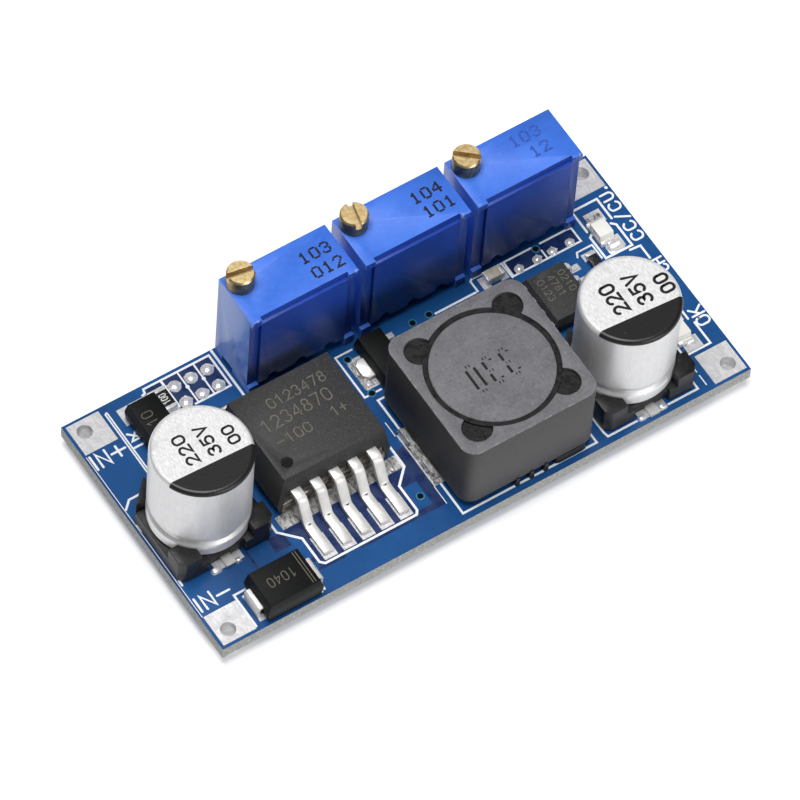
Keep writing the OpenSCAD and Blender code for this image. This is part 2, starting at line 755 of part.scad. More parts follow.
// Square base: the two corners by the positive lead are cut off, and its four
// raised corners hold the can
module capacitor_base(p) {
    h = cap_base / 2;
    cut = 1.9;
    color("#232427")
        at_board(p, land_top)
            difference() {
                linear_extrude(cap_post_h) base_outline(h, cut);
                translate([0, 0, cap_base_h]) cylinder(d = cap_d + 2 * seat_gap, h = 5);
                // posts stay at the corners alone
                for (a = [0, 90])
                    rotate([0, 0, a])
                        translate([0, 0, cap_base_h + 2.5]) cube([4.6, 3 * h, 5], center = true);
                // slots for the two leads, open at the middle, and hollows over their feet
                for (s = [-1, 1]) {
                    translate([-0.45, s > 0 ? 0.8 : -h - 1, -1]) cube([0.9, h + 0.2, 1.3]);
                    translate([-1.6, s > 0 ? h - 0.4 : -h - 0.6, -1]) cube([3.2, 1, 4]);
                }
                translate([-0.45, -0.9, -1]) cube([0.9, 1.8, cap_base_h + 2]);
            }
}

module base_outline(h, cut) {
    nick = 0.5;
    polygon([[-h + nick, -h], [h - nick, -h], [h, -h + nick], [h, h - cut], [h - cut, h],
             [-h + cut, h], [-h, h - cut], [-h, -h + nick]]);
}

module capacitor_leads(p) {
    h = cap_base / 2;
    w = 0.9 - 2 * seat_gap;
    color("#cfd0d2")
        at_board(p, land_top)
            for (s = [-1, 1])
                mirror([0, s < 0 ? 1 : 0, 0]) {
                    translate([-w / 2, 0.3, 0]) cube([w, h + 0.25, 0.25]);
                    translate([-w / 2, 0.3, 0]) cube([w, 0.45, cap_base_h]);
                }
}

// --- diodes ----------------------------------------------------------------------

module diode_body(p, size, turn, drafts) {
    color("#2a2b2d")
        at_board(p, land_top)
            rotate([0, 0, turn])
                difference() {
                    translate([0, 0, 0.1]) moulded_body([size[0], size[1], size[2] - 0.1], drafts, 1);
                    for (s = [-1, 1])
                        translate([s * size[0] / 2, 0, 1.08])
                            cube([1.2, size[1] * 0.56 + 2 * seat_gap, 0.28], center = true);
                    for (s = [-1, 1])
                        translate([s * size[0] / 2, 0, 0]) cube([1.7, size[1] * 0.56 + 2 * seat_gap, 0.6],
                                                               center = true);
                }
}

// Two strap leads folded down the ends and under the body
module diode_leads(p, size, turn) {
    h = size[0] / 2;
    t = 0.22;
    color("#c6c7c9")
        at_board(p, land_top)
            rotate([0, 0, turn])
                for (s = [0, 180])
                    rotate([0, 0, s])
                        rotate([90, 0, 0])
                            linear_extrude(size[1] * 0.56, center = true)
                                polygon([[h - 0.55, 1.08 + t / 2], [h + 0.28, 1.08 + t / 2],
                                         [h + 0.42, 0.98], [h + 0.42, 0], [h - 0.8, 0], [h - 0.8, t],
                                         [h + 0.2, t], [h + 0.2, 0.9], [h + 0.14, 1.08 - t / 2],
                                         [h - 0.55, 1.08 - t / 2]]);
}

// --- three-lead reference ------------------------------------------------------------

module reference_body() {
    color("#2c2d2f")
        at_board(ref_at, land_top)
            difference() {
                moulded_body([ref_w, ref_l, ref_h], [0.18, 0.18], 0.5);
                translate([-ref_w / 2 - 1, -0.9 - seat_gap, -1])
                    cube([ref_w + 0.2, 1.8 + 2 * seat_gap, 1.38 + seat_gap]);
                for (k = [-1 : 1])
                    translate([ref_w / 2 - 0.8, k * 1.5 - 0.25 - seat_gap, -1])
                        cube([2, 0.5 + 2 * seat_gap, 1.38 + seat_gap]);
            }
}

module reference_leads() {
    color("#c6c7c9")
        at_board(ref_at, land_top) {
            // middle lead widened into the heat tab
            linear_extrude(0.38)
                polygon([[ref_w / 2 - 1.7, -0.9], [ref_w / 2 - 1.7, 0.9], [-ref_w / 2 - 0.45, 0.9],
                         [-ref_w / 2 - 0.85, 0.5], [-ref_w / 2 - 0.85, -0.5], [-ref_w / 2 - 0.45, -0.9]]);
            for (k = [-1 : 1]) {
                root = k == 0 ? 1.75 : 0.75;
                translate([ref_w / 2 - root, k * 1.5 - 0.25, 0]) cube([root + 0.8, 0.5, 0.38]);
            }
        }
}

// --- eight-lead amplifier ---------------------------------------------------------------

module amplifier_body() {
    color("#2d2e30")
        at_board(amp_at, land_top)
            difference() {
                translate([0, 0, 0.12]) moulded_body([amp_w, amp_l, amp_h - 0.12], [0.25, 0.25], 0.75);
                for (s = [-1, 1], k = [-1.5 : 1.5])
                    translate([s * amp_w / 2, k * 1.27, 0.85])
                        cube([0.8, 0.42 + 2 * seat_gap, 0.2 + 2 * seat_gap], center = true);
                translate([-amp_w / 2 + 0.75, amp_l / 2 - 0.75, amp_h - 0.07])
                    cylinder(r = 0.32, h = 1);
            }
}

module amplifier_leads() {
    h = amp_w / 2;
    t = 0.2;
    color("#c8c9cb")
        at_board(amp_at, land_top)
            for (s = [0, 180], k = [-1.5 : 1.5])
                rotate([0, 0, s])
                    translate([0, k * 1.27, 0])
                        rotate([90, 0, 0])
                            linear_extrude(0.42, center = true)
                                polygon(band(gull_wing(h - 0.35, h + 0.12, 0.85, 0.16, 8, h + 1.05, t), t));
}

// --- chip parts and lamps -------------------------------------------------------------------

// Middle of a chip part, between its two metal ends
module chip_middle(chip, h) {
    at_board(chip[0], land_top)
        rotate([0, 0, chip[3]])
            translate([-chip[1] / 2 + 0.3, -chip[2] / 2, 0.03]) cube([chip[1] - 0.6, chip[2], h - 0.03]);
}

module chip_ends(chip, h) {
    at_board(chip[0], land_top)
        rotate([0, 0, chip[3]])
            for (x = [-chip[1] / 2, chip[1] / 2 - 0.3])
                translate([x, -chip[2] / 2 - 0.02, 0]) cube([0.3, chip[2] + 0.04, h + 0.02]);
}

module chip_resistors() {
    color("#1e1e20") for (chip = resistors) chip_middle(chip, chip_h);
}

module chip_resistor_ends() {
    color("#d5d5d7") for (chip = resistors) chip_ends(chip, chip_h);
}

module chip_capacitors() {
    color("#a8946c") for (chip = capacitors) chip_middle(chip, chip_cap_h);
}

module chip_capacitor_ends() {
    color("#d5d5d7") for (chip = capacitors) chip_ends(chip, chip_cap_h);
}

module indicator_bases() {
    color("#e6e4da") for (p = lamps) chip_middle([p + lamp_shift, led_l, led_w, 90], 0.4);
}

// Clear lens block with sloping ends, on each base
module indicator_lenses() {
    half = led_l / 2 - 0.32;
    color("#f2efdf")
        for (p = lamps)
            at_board(p + lamp_shift, land_top + 0.4)
                strip([[-half, 0], [half, 0], [half - 0.12, 0.55], [-half + 0.12, 0.55]],
                      led_w - 0.06);
}

module indicator_ends() {
    color("#d9d7c8") for (p = lamps) chip_ends([p + lamp_shift, led_l, led_w, 90], 0.4);
}

circuit_board();
terminal_pads();
solder_pads();
solder_bumps();
for (i = [0 : pot_count - 1]) {
    pot_housing(i);
    pot_lid(i);
    pot_pins(i);
    pot_element(i);
    pot_screw(i);
    pot_o_ring(i);
    pot_wheel(i);
    pot_wiper(i);
}
trimpot_solder();
regulator_body();
regulator_tab();
regulator_leads();
inductor_shield();
inductor_drum();
inductor_glue();
inductor_winding();
inductor_base();
inductor_terminals();
capacitor_can([cap_in_x, cap_in_y]);  // input_capacitor_can
capacitor_base([cap_in_x, cap_in_y]);  // input_capacitor_base
capacitor_leads([cap_in_x, cap_in_y]);  // input_capacitor_leads
capacitor_can([cap_out_x, cap_out_y]);  // output_capacitor_can
capacitor_base([cap_out_x, cap_out_y]);  // output_capacitor_base
capacitor_leads([cap_out_x, cap_out_y]);  // output_capacitor_leads
diode_body(diode_in, [smb_l, smb_w, smb_h], 0, [0.3, 0.1]);  // input_diode_body
diode_leads(diode_in, [smb_l, smb_w, smb_h], 0);  // input_diode_leads
diode_body(diode_back, [sma_l, sma_w, sma_h], 90, [0.15, 0.15]);  // reverse_diode_body
diode_leads(diode_back, [sma_l, sma_w, sma_h], 90);  // reverse_diode_leads
reference_body();
reference_leads();
amplifier_body();
amplifier_leads();
chip_resistors();
chip_resistor_ends();
chip_capacitors();
chip_capacitor_ends();
indicator_bases();
indicator_lenses();
indicator_ends();
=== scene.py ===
"""Buck converter module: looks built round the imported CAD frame.

Pieces are drawn in board millimetres, from the front left corner of the board's top face: +X to the
output pads, +Y to the trimpots, +Z up. put() turns them into the frame's metres. Materials measure
in the frame's axes, in millimetres, and the lamps and the camera stand in its metres.
"""
import json
import math
import random

import bmesh
import bpy
from mathutils import Matrix, Vector
from mathutils.bvhtree import BVHTree

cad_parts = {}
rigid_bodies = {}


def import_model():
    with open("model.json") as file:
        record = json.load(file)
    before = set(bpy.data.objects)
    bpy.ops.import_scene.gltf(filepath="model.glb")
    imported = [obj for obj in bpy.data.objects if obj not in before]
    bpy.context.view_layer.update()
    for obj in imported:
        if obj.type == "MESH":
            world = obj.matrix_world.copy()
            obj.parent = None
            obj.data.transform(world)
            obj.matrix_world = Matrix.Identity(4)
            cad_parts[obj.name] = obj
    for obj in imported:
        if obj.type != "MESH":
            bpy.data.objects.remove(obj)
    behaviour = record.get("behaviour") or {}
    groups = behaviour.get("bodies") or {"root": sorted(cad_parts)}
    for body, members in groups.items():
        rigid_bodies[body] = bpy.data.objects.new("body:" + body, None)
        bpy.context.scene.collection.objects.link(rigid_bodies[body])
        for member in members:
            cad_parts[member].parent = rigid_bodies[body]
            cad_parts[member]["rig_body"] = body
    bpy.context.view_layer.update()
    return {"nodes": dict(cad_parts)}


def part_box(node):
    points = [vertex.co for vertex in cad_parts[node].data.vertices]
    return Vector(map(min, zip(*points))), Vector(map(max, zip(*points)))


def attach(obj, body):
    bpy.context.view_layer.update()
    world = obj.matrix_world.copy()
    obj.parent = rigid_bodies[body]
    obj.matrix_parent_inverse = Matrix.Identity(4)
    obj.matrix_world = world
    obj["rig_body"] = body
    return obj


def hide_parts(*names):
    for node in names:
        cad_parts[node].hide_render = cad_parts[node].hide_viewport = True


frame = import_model()

BOARD_L, BOARD_W, BOARD_TOP = 48.0, 23.0, 2.2
MM = 0.001


def put(x, y, z=0.0):
    """A point in board millimetres as a point in the frame, in metres."""
    return Vector(((x - BOARD_L / 2) * MM, (y - BOARD_W / 2) * MM, (z + BOARD_TOP) * MM))


def on_board(point):
    """A point in the frame, in metres, as a point in board millimetres."""
    return point / MM + Vector((BOARD_L / 2, BOARD_W / 2, -BOARD_TOP))


def node_box(name):
    """Lowest and highest corners of a CAD node in board millimetres."""
    low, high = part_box(name)
    return on_board(low), on_board(high)


def node_middle(name):
    """Middle of a CAD node's box in board millimetres."""
    low, high = node_box(name)
    return (low + high) / 2


# The inductor's middle, in board millimetres
INDUCTOR = node_middle("inductor_drum")
# The trimpots' front and, nearly, their top, in the frame's axes for the materials
POT_FRONT = node_box("trimpot_1_housing")[0].y - BOARD_W / 2
POT_TOP = BOARD_TOP + 10.0

# ---------------------------------------------------------------- materials

class Shade:
    """A node material whose patterns are measured in the frame's axes, in millimetres."""

    def __init__(self, name, color=(0.5, 0.5, 0.5), rough=0.5, metal=0.0, **sockets):
        self.mat = bpy.data.materials.new(name)
        self.mat.use_nodes = True
        self.tree = self.mat.node_tree
        self.tree.nodes.clear()
        self.out = self.tree.nodes.new("ShaderNodeOutputMaterial")
        self.bsdf = self.tree.nodes.new("ShaderNodeBsdfPrincipled")
        self.tree.links.new(self.bsdf.outputs[0], self.out.inputs[0])
        self.set("Base Color", color)
        self.set("Roughness", rough)
        self.set("Metallic", metal)
        for key, value in sockets.items():
            self.set(key.replace("_", " "), value)
        where = self.tree.nodes.new("ShaderNodeTexCoord").outputs["Object"]
        self.mm = self.vector("MULTIPLY", where, (1000, 1000, 1000))
        self.parts = None
        self.last_bump = None

    def set(self, socket, value):
        if isinstance(value, tuple) and len(value) == 3:
            value = (*value, 1.0)
        self.bsdf.inputs[socket].default_value = value

    def link(self, source, target):
        self.tree.links.new(source, target)

    def feed(self, source, target):
        """Links a socket, or writes a plain value."""
        if isinstance(source, bpy.types.NodeSocket):
            self.link(source, target)
        elif isinstance(source, tuple) and len(source) == 3 and target.type == "RGBA":
            target.default_value = (*source, 1.0)
        else:
            target.default_value = source

    def to(self, source, socket):
        self.link(source, self.bsdf.inputs[socket])

    def vector(self, operation, a, b):
        n = self.tree.nodes.new("ShaderNodeVectorMath")
        n.operation = operation
        self.feed(a, n.inputs[0])
        self.feed(b, n.inputs[1])
        return n.outputs[0]

    def math(self, operation, a, b=0.0):
        n = self.tree.nodes.new("ShaderNodeMath")
        n.operation = operation
        self.feed(a, n.inputs[0])
        self.feed(b, n.inputs[1])
        return n.outputs[0]

    def axis(self, which, source=None):
        """One coordinate of the place in the frame, or of another vector."""
        if self.parts is None or source is not None:
            n = self.tree.nodes.new("ShaderNodeSeparateXYZ")
            self.link(self.mm if source is None else source, n.inputs[0])
            if source is not None:
                return n.outputs[which]
            self.parts = n
        return self.parts.outputs[which]

    def normal(self, which):
        n = self.tree.nodes.new("ShaderNodeNewGeometry")
        return self.axis(which, n.outputs["Normal"])

    def noise(self, scale, detail=3.0, rough=0.55, warp=0.0, stretch=None):
        n = self.tree.nodes.new("ShaderNodeTexNoise")
        place = self.mm if stretch is None else self.vector("MULTIPLY", self.mm, stretch)
        self.link(place, n.inputs["Vector"])
        n.inputs["Scale"].default_value = scale
        n.inputs["Detail"].default_value = detail
        n.inputs["Roughness"].default_value = rough
        n.inputs["Distortion"].default_value = warp
        return n.outputs["Fac"]

    def span(self, value, low, high, to_low=0.0, to_high=1.0):
        """Turns low..high of a value into to_low..to_high, held at both ends."""
        n = self.tree.nodes.new("ShaderNodeMapRange")
        n.interpolation_type = "SMOOTHSTEP"
        self.feed(value, n.inputs["Value"])
        for key, number in (("From Min", low), ("From Max", high), ("To Min", to_low), ("To Max", to_high)):
            n.inputs[key].default_value = number
        return n.outputs["Result"]

    def mix(self, share, a, b):
        """Colour a where share is 0 and colour b where it is 1."""
        n = self.tree.nodes.new("ShaderNodeMix")
        n.data_type = "RGBA"
        self.feed(share, n.inputs[0])
        self.feed(a, n.inputs[6])
        self.feed(b, n.inputs[7])
        return n.outputs[2]

    def bump(self, height, depth, strength=1.0):
        """Adds relief of the given depth in millimetres."""
        n = self.tree.nodes.new("ShaderNodeBump")
        n.inputs["Distance"].default_value = depth * MM
        n.inputs["Strength"].default_value = strength
        self.link(height, n.inputs["Height"])
        if self.last_bump is not None:
            self.link(self.last_bump, n.inputs["Normal"])
        self.last_bump = n.outputs[0]
        self.to(self.last_bump, "Normal")

    def paint(self, color):
        self.to(color, "Base Color")

    def grain(self, low, high, depth, scale):
        """Roughness between low and high, and relief, both from one noise."""
        n = self.noise(scale)
        self.to(self.span(n, 0.35, 0.65, low, high), "Roughness")
        if depth:
            self.bump(n, depth)
        return n


def mask_material():
    """Blue mask over copper, with the pale sawn fibreglass on the board's edges."""
    s = Shade("solder_mask", rough=0.22, Specular_IOR_Level=0.5)
    cloud = s.span(s.noise(0.16, 3.0), 0.3, 0.7)
    fine = s.span(s.noise(3.5, 4.0), 0.25, 0.75)
    blue = s.mix(cloud, (0.006, 0.062, 0.215), (0.010, 0.086, 0.275))
    blue = s.mix(s.math("MULTIPLY", fine, 0.25), blue, (0.014, 0.105, 0.32))
    side = s.span(s.math("ABSOLUTE", s.normal("Z")), 0.5, 0.7)
    glass = s.span(s.noise(4.0, 5.0, 0.65, stretch=(1.0, 1.0, 2.0)), 0.35, 0.65)
    strand = s.span(s.noise(1.0, 2.0, stretch=(1.4, 1.4, 16.0)), 0.4, 0.62)
    edge = s.mix(glass, (0.58, 0.59, 0.55), (1.0, 1.0, 0.99))
    edge = s.mix(s.math("MULTIPLY", strand, 0.35), edge, (0.98, 0.98, 0.96))
    s.paint(s.mix(side, edge, blue))
    s.to(s.span(side, 0.0, 1.0, 0.75, 0.24), "Roughness")
    s.bump(s.noise(0.9, 2.0), 0.012, 0.6)
    s.bump(s.math("MULTIPLY", glass, s.math("SUBTRACT", 1.0, side)), 0.15)
    return s.mat


def silk_material():
    """White ink, thin in places."""
    s = Shade("silkscreen_ink", (0.80, 0.83, 0.86), 0.55)
    worn = s.span(s.noise(9.0, 4.0, 0.6), 0.30, 0.62)
    s.paint(s.mix(worn, (0.68, 0.75, 0.84), (0.95, 0.96, 0.97)))
    s.bump(s.noise(14.0, 2.0), 0.004)
    return s.mat


def tin_material():
    """Hot air levelled tin: pale and satin, mottled where it froze."""
    s = Shade("tinned_pad", (0.74, 0.74, 0.745), 0.36, 0.45)
    patch = s.span(s.noise(1.5, 4.0, 0.62, warp=0.6), 0.34, 0.66)
    streak = s.span(s.noise(1.2, 3.0, 0.6, stretch=(4.0, 0.6, 1.0)), 0.35, 0.7)
    tone = s.mix(patch, (0.62, 0.61, 0.625), (0.93, 0.92, 0.93))
    s.paint(s.mix(s.math("MULTIPLY", streak, 0.35), tone, (0.42, 0.42, 0.43)))
    s.to(s.span(patch, 0.0, 1.0, 0.42, 0.30), "Roughness")
    s.bump(s.noise(1.6, 4.0, 0.6, warp=0.4), 0.02)
    s.bump(s.noise(9.0, 3.0), 0.004)
    return s.mat


def rough_tin_material():
    """Tin dragged in streaks and frozen dull, as round the big parts."""
    s = Shade("rough_tin", (0.5, 0.5, 0.5), 0.4, 0.6)
    streak = s.noise(1.6, 5.0, 0.7, warp=0.8, stretch=(3.0, 1.0, 1.0))
    s.paint(s.mix(s.span(streak, 0.36, 0.62), (0.13, 0.125, 0.12), (0.66, 0.65, 0.64)))
    s.to(s.span(streak, 0.3, 0.7, 0.55, 0.28), "Roughness")
    s.bump(streak, 0.09)
    return s.mat


def solder_material():
    """Bright solder with soft clouds."""
    s = Shade("solder_joint", (0.84, 0.84, 0.85), 0.2, 0.4)
    s.paint(s.mix(s.span(s.noise(2.0, 3.0), 0.35, 0.65), (0.70, 0.70, 0.71), (0.92, 0.92, 0.93)))
    s.grain(0.14, 0.30, 0.015, 3.0)
    return s.mat


def lead_material():
    """Matte tin plating, smooth, a little darker where the strip was formed."""
    s = Shade("tinned_lead", (0.84, 0.83, 0.82), 0.34, 0.5)
    soft = s.span(s.noise(0.9, 3.0, 0.6, stretch=(1.0, 0.6, 1.0)), 0.3, 0.7)
    s.paint(s.mix(soft, (0.66, 0.65, 0.63), (0.80, 0.79, 0.77)))
    s.grain(0.40, 0.50, 0.002, 5.0)
    return s.mat


def package_material(name, low, high, speck, rough, gloss):
    """Moulded epoxy with fine filler grain."""
    s = Shade(name, low, rough, Specular_IOR_Level=gloss)
    grain = s.noise(9.0, 4.0, 0.75)
    tone = s.mix(s.span(grain, 0.32, 0.68), low, high)
    s.paint(s.mix(s.span(s.noise(12.0, 2.0, 0.6), 0.60, 0.70), tone, speck))
    s.to(s.span(grain, 0.3, 0.7, rough - 0.08, rough + 0.10), "Roughness")
    s.bump(grain, 0.008)
    return s.mat


def laser_material():
    """Laser marking: tan and unevenly burnt."""
    tone = (0.17, 0.155, 0.115)
    s = Shade("laser_mark", tone, 0.65)
    fade = s.span(s.noise(8.0, 3.0, 0.65), 0.32, 0.68)
    s.paint(s.mix(fade, tuple(c * 0.55 for c in tone), tone))
    return s.mat


def ferrite_material():
    """Ferrite: ground grey top with pits, scratches and worn outer edges, darker flanks, and painted shade
    on the flank turned to −X.
    """
    s = Shade("ferrite", (0.15, 0.15, 0.16), 0.6, Specular_IOR_Level=0.35)
    cloud = s.span(s.noise(0.45, 5.0, 0.7), 0.25, 0.75)
    grain = s.noise(7.0, 5.0, 0.75)
    tone = s.mix(cloud, (0.128, 0.125, 0.136), (0.184, 0.181, 0.194))
    tone = s.mix(s.span(grain, 0.55, 0.72), tone, (0.235, 0.232, 0.245))
    tone = s.mix(s.span(grain, 0.42, 0.30), tone, (0.095, 0.093, 0.100))
    for stretch, turn in (((1.2, 4.0, 1.0), 2.2), ((3.5, 1.0, 1.0), 2.8), ((2.0, 2.0, 1.0), 3.5)):
        hair = s.noise(0.8, 3.0, 0.55, warp=turn, stretch=stretch)
        tone = s.mix(s.math("MULTIPLY", s.span(hair, 0.62, 0.67), 0.55), tone, (0.23, 0.23, 0.245))
        tone = s.mix(s.math("MULTIPLY", s.span(hair, 0.38, 0.33), 0.55), tone, (0.085, 0.083, 0.09))
    middle = (("X", INDUCTOR.x - BOARD_L / 2), ("Y", INDUCTOR.y - BOARD_W / 2))
    away = [s.math("ABSOLUTE", s.math("SUBTRACT", s.axis(k), place)) for k, place in middle]
    rim = s.span(s.math("MAXIMUM", *away), 5.86, 6.0)
    worn = s.math("MULTIPLY", rim, s.span(s.noise(2.5, 4.0, 0.7), 0.48, 0.6))
    tone = s.mix(s.math("MULTIPLY", worn, 0.5), tone, (0.34, 0.34, 0.35))
    flank = s.span(s.normal("Z"), 0.75, 0.35)
    dark_flank_and_shade = s.mix(s.span(grain, 0.35, 0.65), (0.056, 0.054, 0.056), (0.095, 0.091, 0.092))
    # painted shade: the flank turned to −X, towards the regulator and the input capacitor, is darker still
    dark_flank_and_shade = s.mix(s.span(s.normal("X"), -0.4, -0.9), dark_flank_and_shade, (0.035, 0.034, 0.036))
    s.paint(s.mix(flank, tone, dark_flank_and_shade))
    s.to(s.span(grain, 0.3, 0.7, 0.50, 0.70), "Roughness")
    s.bump(grain, 0.012)
    return s.mat


def glue_material():
    """Black glue: lumpy, glossy in patches."""
    s = Shade("black_glue", (0.008, 0.008, 0.009), 0.4, Specular_IOR_Level=0.3)
    lump = s.noise(1.6, 4.0, 0.65)
    s.paint(s.mix(s.span(lump, 0.4, 0.7), (0.004, 0.004, 0.0045), (0.012, 0.012, 0.013)))
    s.to(s.span(lump, 0.3, 0.7, 0.30, 0.60), "Roughness")
    s.bump(lump, 0.05)
    return s.mat


def base_material():
    """Black moulded plastic with a fine grain."""
    s = Shade("moulded_base", (0.012, 0.012, 0.013), 0.42, Specular_IOR_Level=0.4)
    s.paint(s.mix(s.span(s.noise(3.0, 4.0), 0.4, 0.7), (0.009, 0.009, 0.010), (0.018, 0.018, 0.020)))
    s.grain(0.34, 0.52, 0.010, 9.0)
    return s.mat


def can_material():
    """Lacquered aluminium can: satin side, top with a fine rolled grain."""
    s = Shade("can_aluminium", (0.74, 0.74, 0.745), 0.34, 0.5)
    flat = s.span(s.normal("Z"), 0.75, 0.95)
    side = s.math("SUBTRACT", 1.0, flat)
    drawn = s.noise(2.0, 4.0, 0.6, stretch=(2.0, 2.0, 0.5))
    rolled = s.noise(1.6, 5.0, 0.75, stretch=(7.0, 1.4, 1.0))
    scuff = s.noise(0.5, 4.0, 0.7)
    tone = s.mix(s.span(drawn, 0.3, 0.7), (0.72, 0.72, 0.73), (0.78, 0.78, 0.79))
    top = s.mix(s.span(rolled, 0.40, 0.62), (0.66, 0.655, 0.66), (0.90, 0.895, 0.90))
    top = s.mix(s.math("MULTIPLY", s.span(scuff, 0.55, 0.7), 0.5), top, (0.55, 0.55, 0.56))
    s.paint(s.mix(flat, tone, top))
    s.to(s.span(flat, 0.0, 1.0, 0.42, 0.5), "Roughness")
    s.to(s.span(flat, 0.0, 1.0, 0.50, 0.15), "Metallic")
    s.bump(s.math("MULTIPLY", rolled, flat), 0.012)
    s.bump(s.math("MULTIPLY", drawn, side), 0.002)
    return s.mat


def print_material():
    """Black ink with pale flecks where it is missing."""
    s = Shade("black_print", (0.010, 0.010, 0.011), 0.34, Specular_IOR_Level=0.4)
    fleck = s.span(s.noise(5.0, 5.0, 0.7), 0.68, 0.74)
    s.paint(s.mix(fleck, (0.010, 0.010, 0.011), (0.22, 0.22, 0.23)))
    s.bump(s.noise(5.0, 3.0), 0.008)
    return s.mat


def front_tone_and_shade(s):
    """Dark blue of the trimpots' fronts with painted shade, darkest low down and lighter towards the top, in
    the frame's Z.
    """
    rise = s.span(s.axis("Z"), BOARD_TOP + 1.0, POT_TOP)
    return s.mix(rise, (0.009, 0.036, 0.20), (0.016, 0.066, 0.42))


def pot_material():
    """Blue thermoset: brushed on top, smoother on the sides, chipped pale along the front edge, with a
    painted reflection on the faces turned to −X and painted shade on the fronts.
    """
    s = Shade("pot_plastic", (0.05, 0.19, 0.80), 0.40)
    flat = s.span(s.normal("Z"), 0.6, 0.9)
    brush = s.noise(2.2, 5.0, 0.7, stretch=(0.6, 6.0, 1.0))
    cloud = s.span(s.noise(0.35, 3.0), 0.3, 0.7)
    tone = s.mix(cloud, (0.040, 0.160, 0.72), (0.058, 0.200, 0.82))
    streak = s.math("MULTIPLY", s.span(brush, 0.50, 0.74), s.math("MULTIPLY", flat, 0.45))
    tone = s.mix(streak, tone, (0.16, 0.34, 0.92))
    # painted reflection: faces turned to −X are paler, standing in for the white floor seen in them at a
    # grazing angle
    tone = s.mix(s.span(s.normal("X"), -0.5, -0.9), tone, (0.085, 0.25, 0.82))
    # painted shade: faces turned to the front take the dark front blue
    tone = s.mix(s.span(s.normal("Y"), -0.5, -0.9), tone, front_tone_and_shade(s))
    near = s.math("MULTIPLY", s.span(s.axis("Y"), POT_FRONT + 0.30, POT_FRONT + 0.10),
                  s.span(s.axis("Z"), POT_TOP - 0.50, POT_TOP - 0.12))
    chip = s.math("MULTIPLY", near, s.span(s.noise(2.6, 4.0, 0.7), 0.52, 0.60))
    s.paint(s.mix(chip, tone, (0.26, 0.36, 0.60)))
    s.to(s.span(flat, 0.0, 1.0, 0.30, 0.46), "Roughness")
    s.bump(s.math("MULTIPLY", brush, flat), 0.008)
    s.bump(s.noise(5.0, 3.0), 0.004)
    return s.mat


def lid_material():
    """Epoxy that seals the trimpot's front: dark, smooth and a little uneven, with painted shade that
    lightens towards the top.
    """
    s = Shade("pot_epoxy", (0.012, 0.050, 0.30), 0.26)
    cloud = s.span(s.noise(0.35, 3.0), 0.3, 0.7)
    # the epoxy's own dark blue with the fronts' painted shade, and darker clouds
    s.paint(s.mix(s.math("MULTIPLY", cloud, 0.4), front_tone_and_shade(s), (0.010, 0.036, 0.20)))
    s.to(s.span(s.noise(1.0, 3.0), 0.3, 0.7, 0.34, 0.42), "Roughness")
    s.bump(s.noise(0.25, 1.0), 0.012)
    s.bump(s.noise(7.0, 3.0), 0.002)
    return s.mat


def brass_material():
    """Turned brass: bright faces, darker flanks."""
    s = Shade("turned_brass", (0.72, 0.52, 0.22), 0.3, 1.0)
    flat = s.span(s.normal("Z"), 0.5, 0.9)
    stain = s.span(s.noise(1.6, 4.0, 0.6), 0.35, 0.65)
    spot = s.math("MULTIPLY", s.span(s.noise(5.0, 4.0, 0.65), 0.64, 0.74), 0.35)
    bright = s.mix(stain, (0.80, 0.57, 0.26), (0.96, 0.77, 0.42))
    bright = s.mix(spot, bright, (0.30, 0.19, 0.07))
    dark = s.mix(stain, (0.20, 0.14, 0.075), (0.36, 0.26, 0.13))
    s.paint(s.mix(flat, dark, bright))
    s.grain(0.34, 0.44, 0.003, 5.0)
    return s.mat


def plain(name, color, second, rough, depth=0.01, scale=5.0, metal=0.0, **sockets):
    """A finish with soft patches of a second tone and a little relief."""
    s = Shade(name, color, rough, metal, **sockets)
    patch = s.grain(rough * 0.85, rough * 1.2, depth, scale)
    s.paint(s.mix(s.span(patch, 0.35, 0.65), color, second))
    return s.mat


MASK = mask_material()
SILK = silk_material()
TIN = tin_material()
SOLDER = solder_material()
LEAD = lead_material()
ROUGH_TIN = rough_tin_material()
EPOXY = package_material("moulded_epoxy", (0.030, 0.030, 0.030), (0.046, 0.046, 0.045),
                         (0.115, 0.113, 0.105), 0.55, 0.28)
DARK = package_material("dark_epoxy", (0.0035, 0.004, 0.004), (0.006, 0.0065, 0.0065),
                        (0.020, 0.020, 0.019), 0.5, 0.14)
LASER = laser_material()
FERRITE = ferrite_material()
GLUE = glue_material()
BASE = base_material()
CAN = can_material()
PRINT = print_material()
POT = pot_material()
LID = lid_material()
BRASS = brass_material()
NAVY = plain("mask_gap", (0.004, 0.020, 0.095), (0.005, 0.024, 0.11), 0.3, 0.0, 1.0)
RIM = plain("via_rim", (0.035, 0.24, 0.40), (0.02, 0.14, 0.30), 0.3)
HOLE = plain("hole_shade", (0.002, 0.002, 0.003), (0.004, 0.005, 0.007), 0.8, Specular_IOR_Level=0.1)
CERAMIC = plain("element_ceramic", (0.78, 0.75, 0.66), (0.66, 0.62, 0.52), 0.6)
WHEEL = plain("wheel_plastic", (0.80, 0.79, 0.74), (0.70, 0.69, 0.64), 0.45)
SPRING = plain("spring_strip", (0.70, 0.52, 0.24), (0.60, 0.42, 0.18), 0.3, metal=1.0)
RUBBER = plain("rubber_ring", (0.016, 0.016, 0.017), (0.028, 0.028, 0.028), 0.7)
COPPER = plain("enamelled_copper", (0.45, 0.12, 0.035), (0.62, 0.20, 0.06), 0.28, metal=0.7)
CHIP = plain("chip_ceramic", (0.46, 0.41, 0.32), (0.56, 0.51, 0.41), 0.35)
RESISTOR = plain("resistor_glaze", (0.012, 0.012, 0.014), (0.025, 0.025, 0.027), 0.25)
LAMP_BASE = plain("lamp_laminate", (0.80, 0.78, 0.66), (0.68, 0.64, 0.48), 0.5)
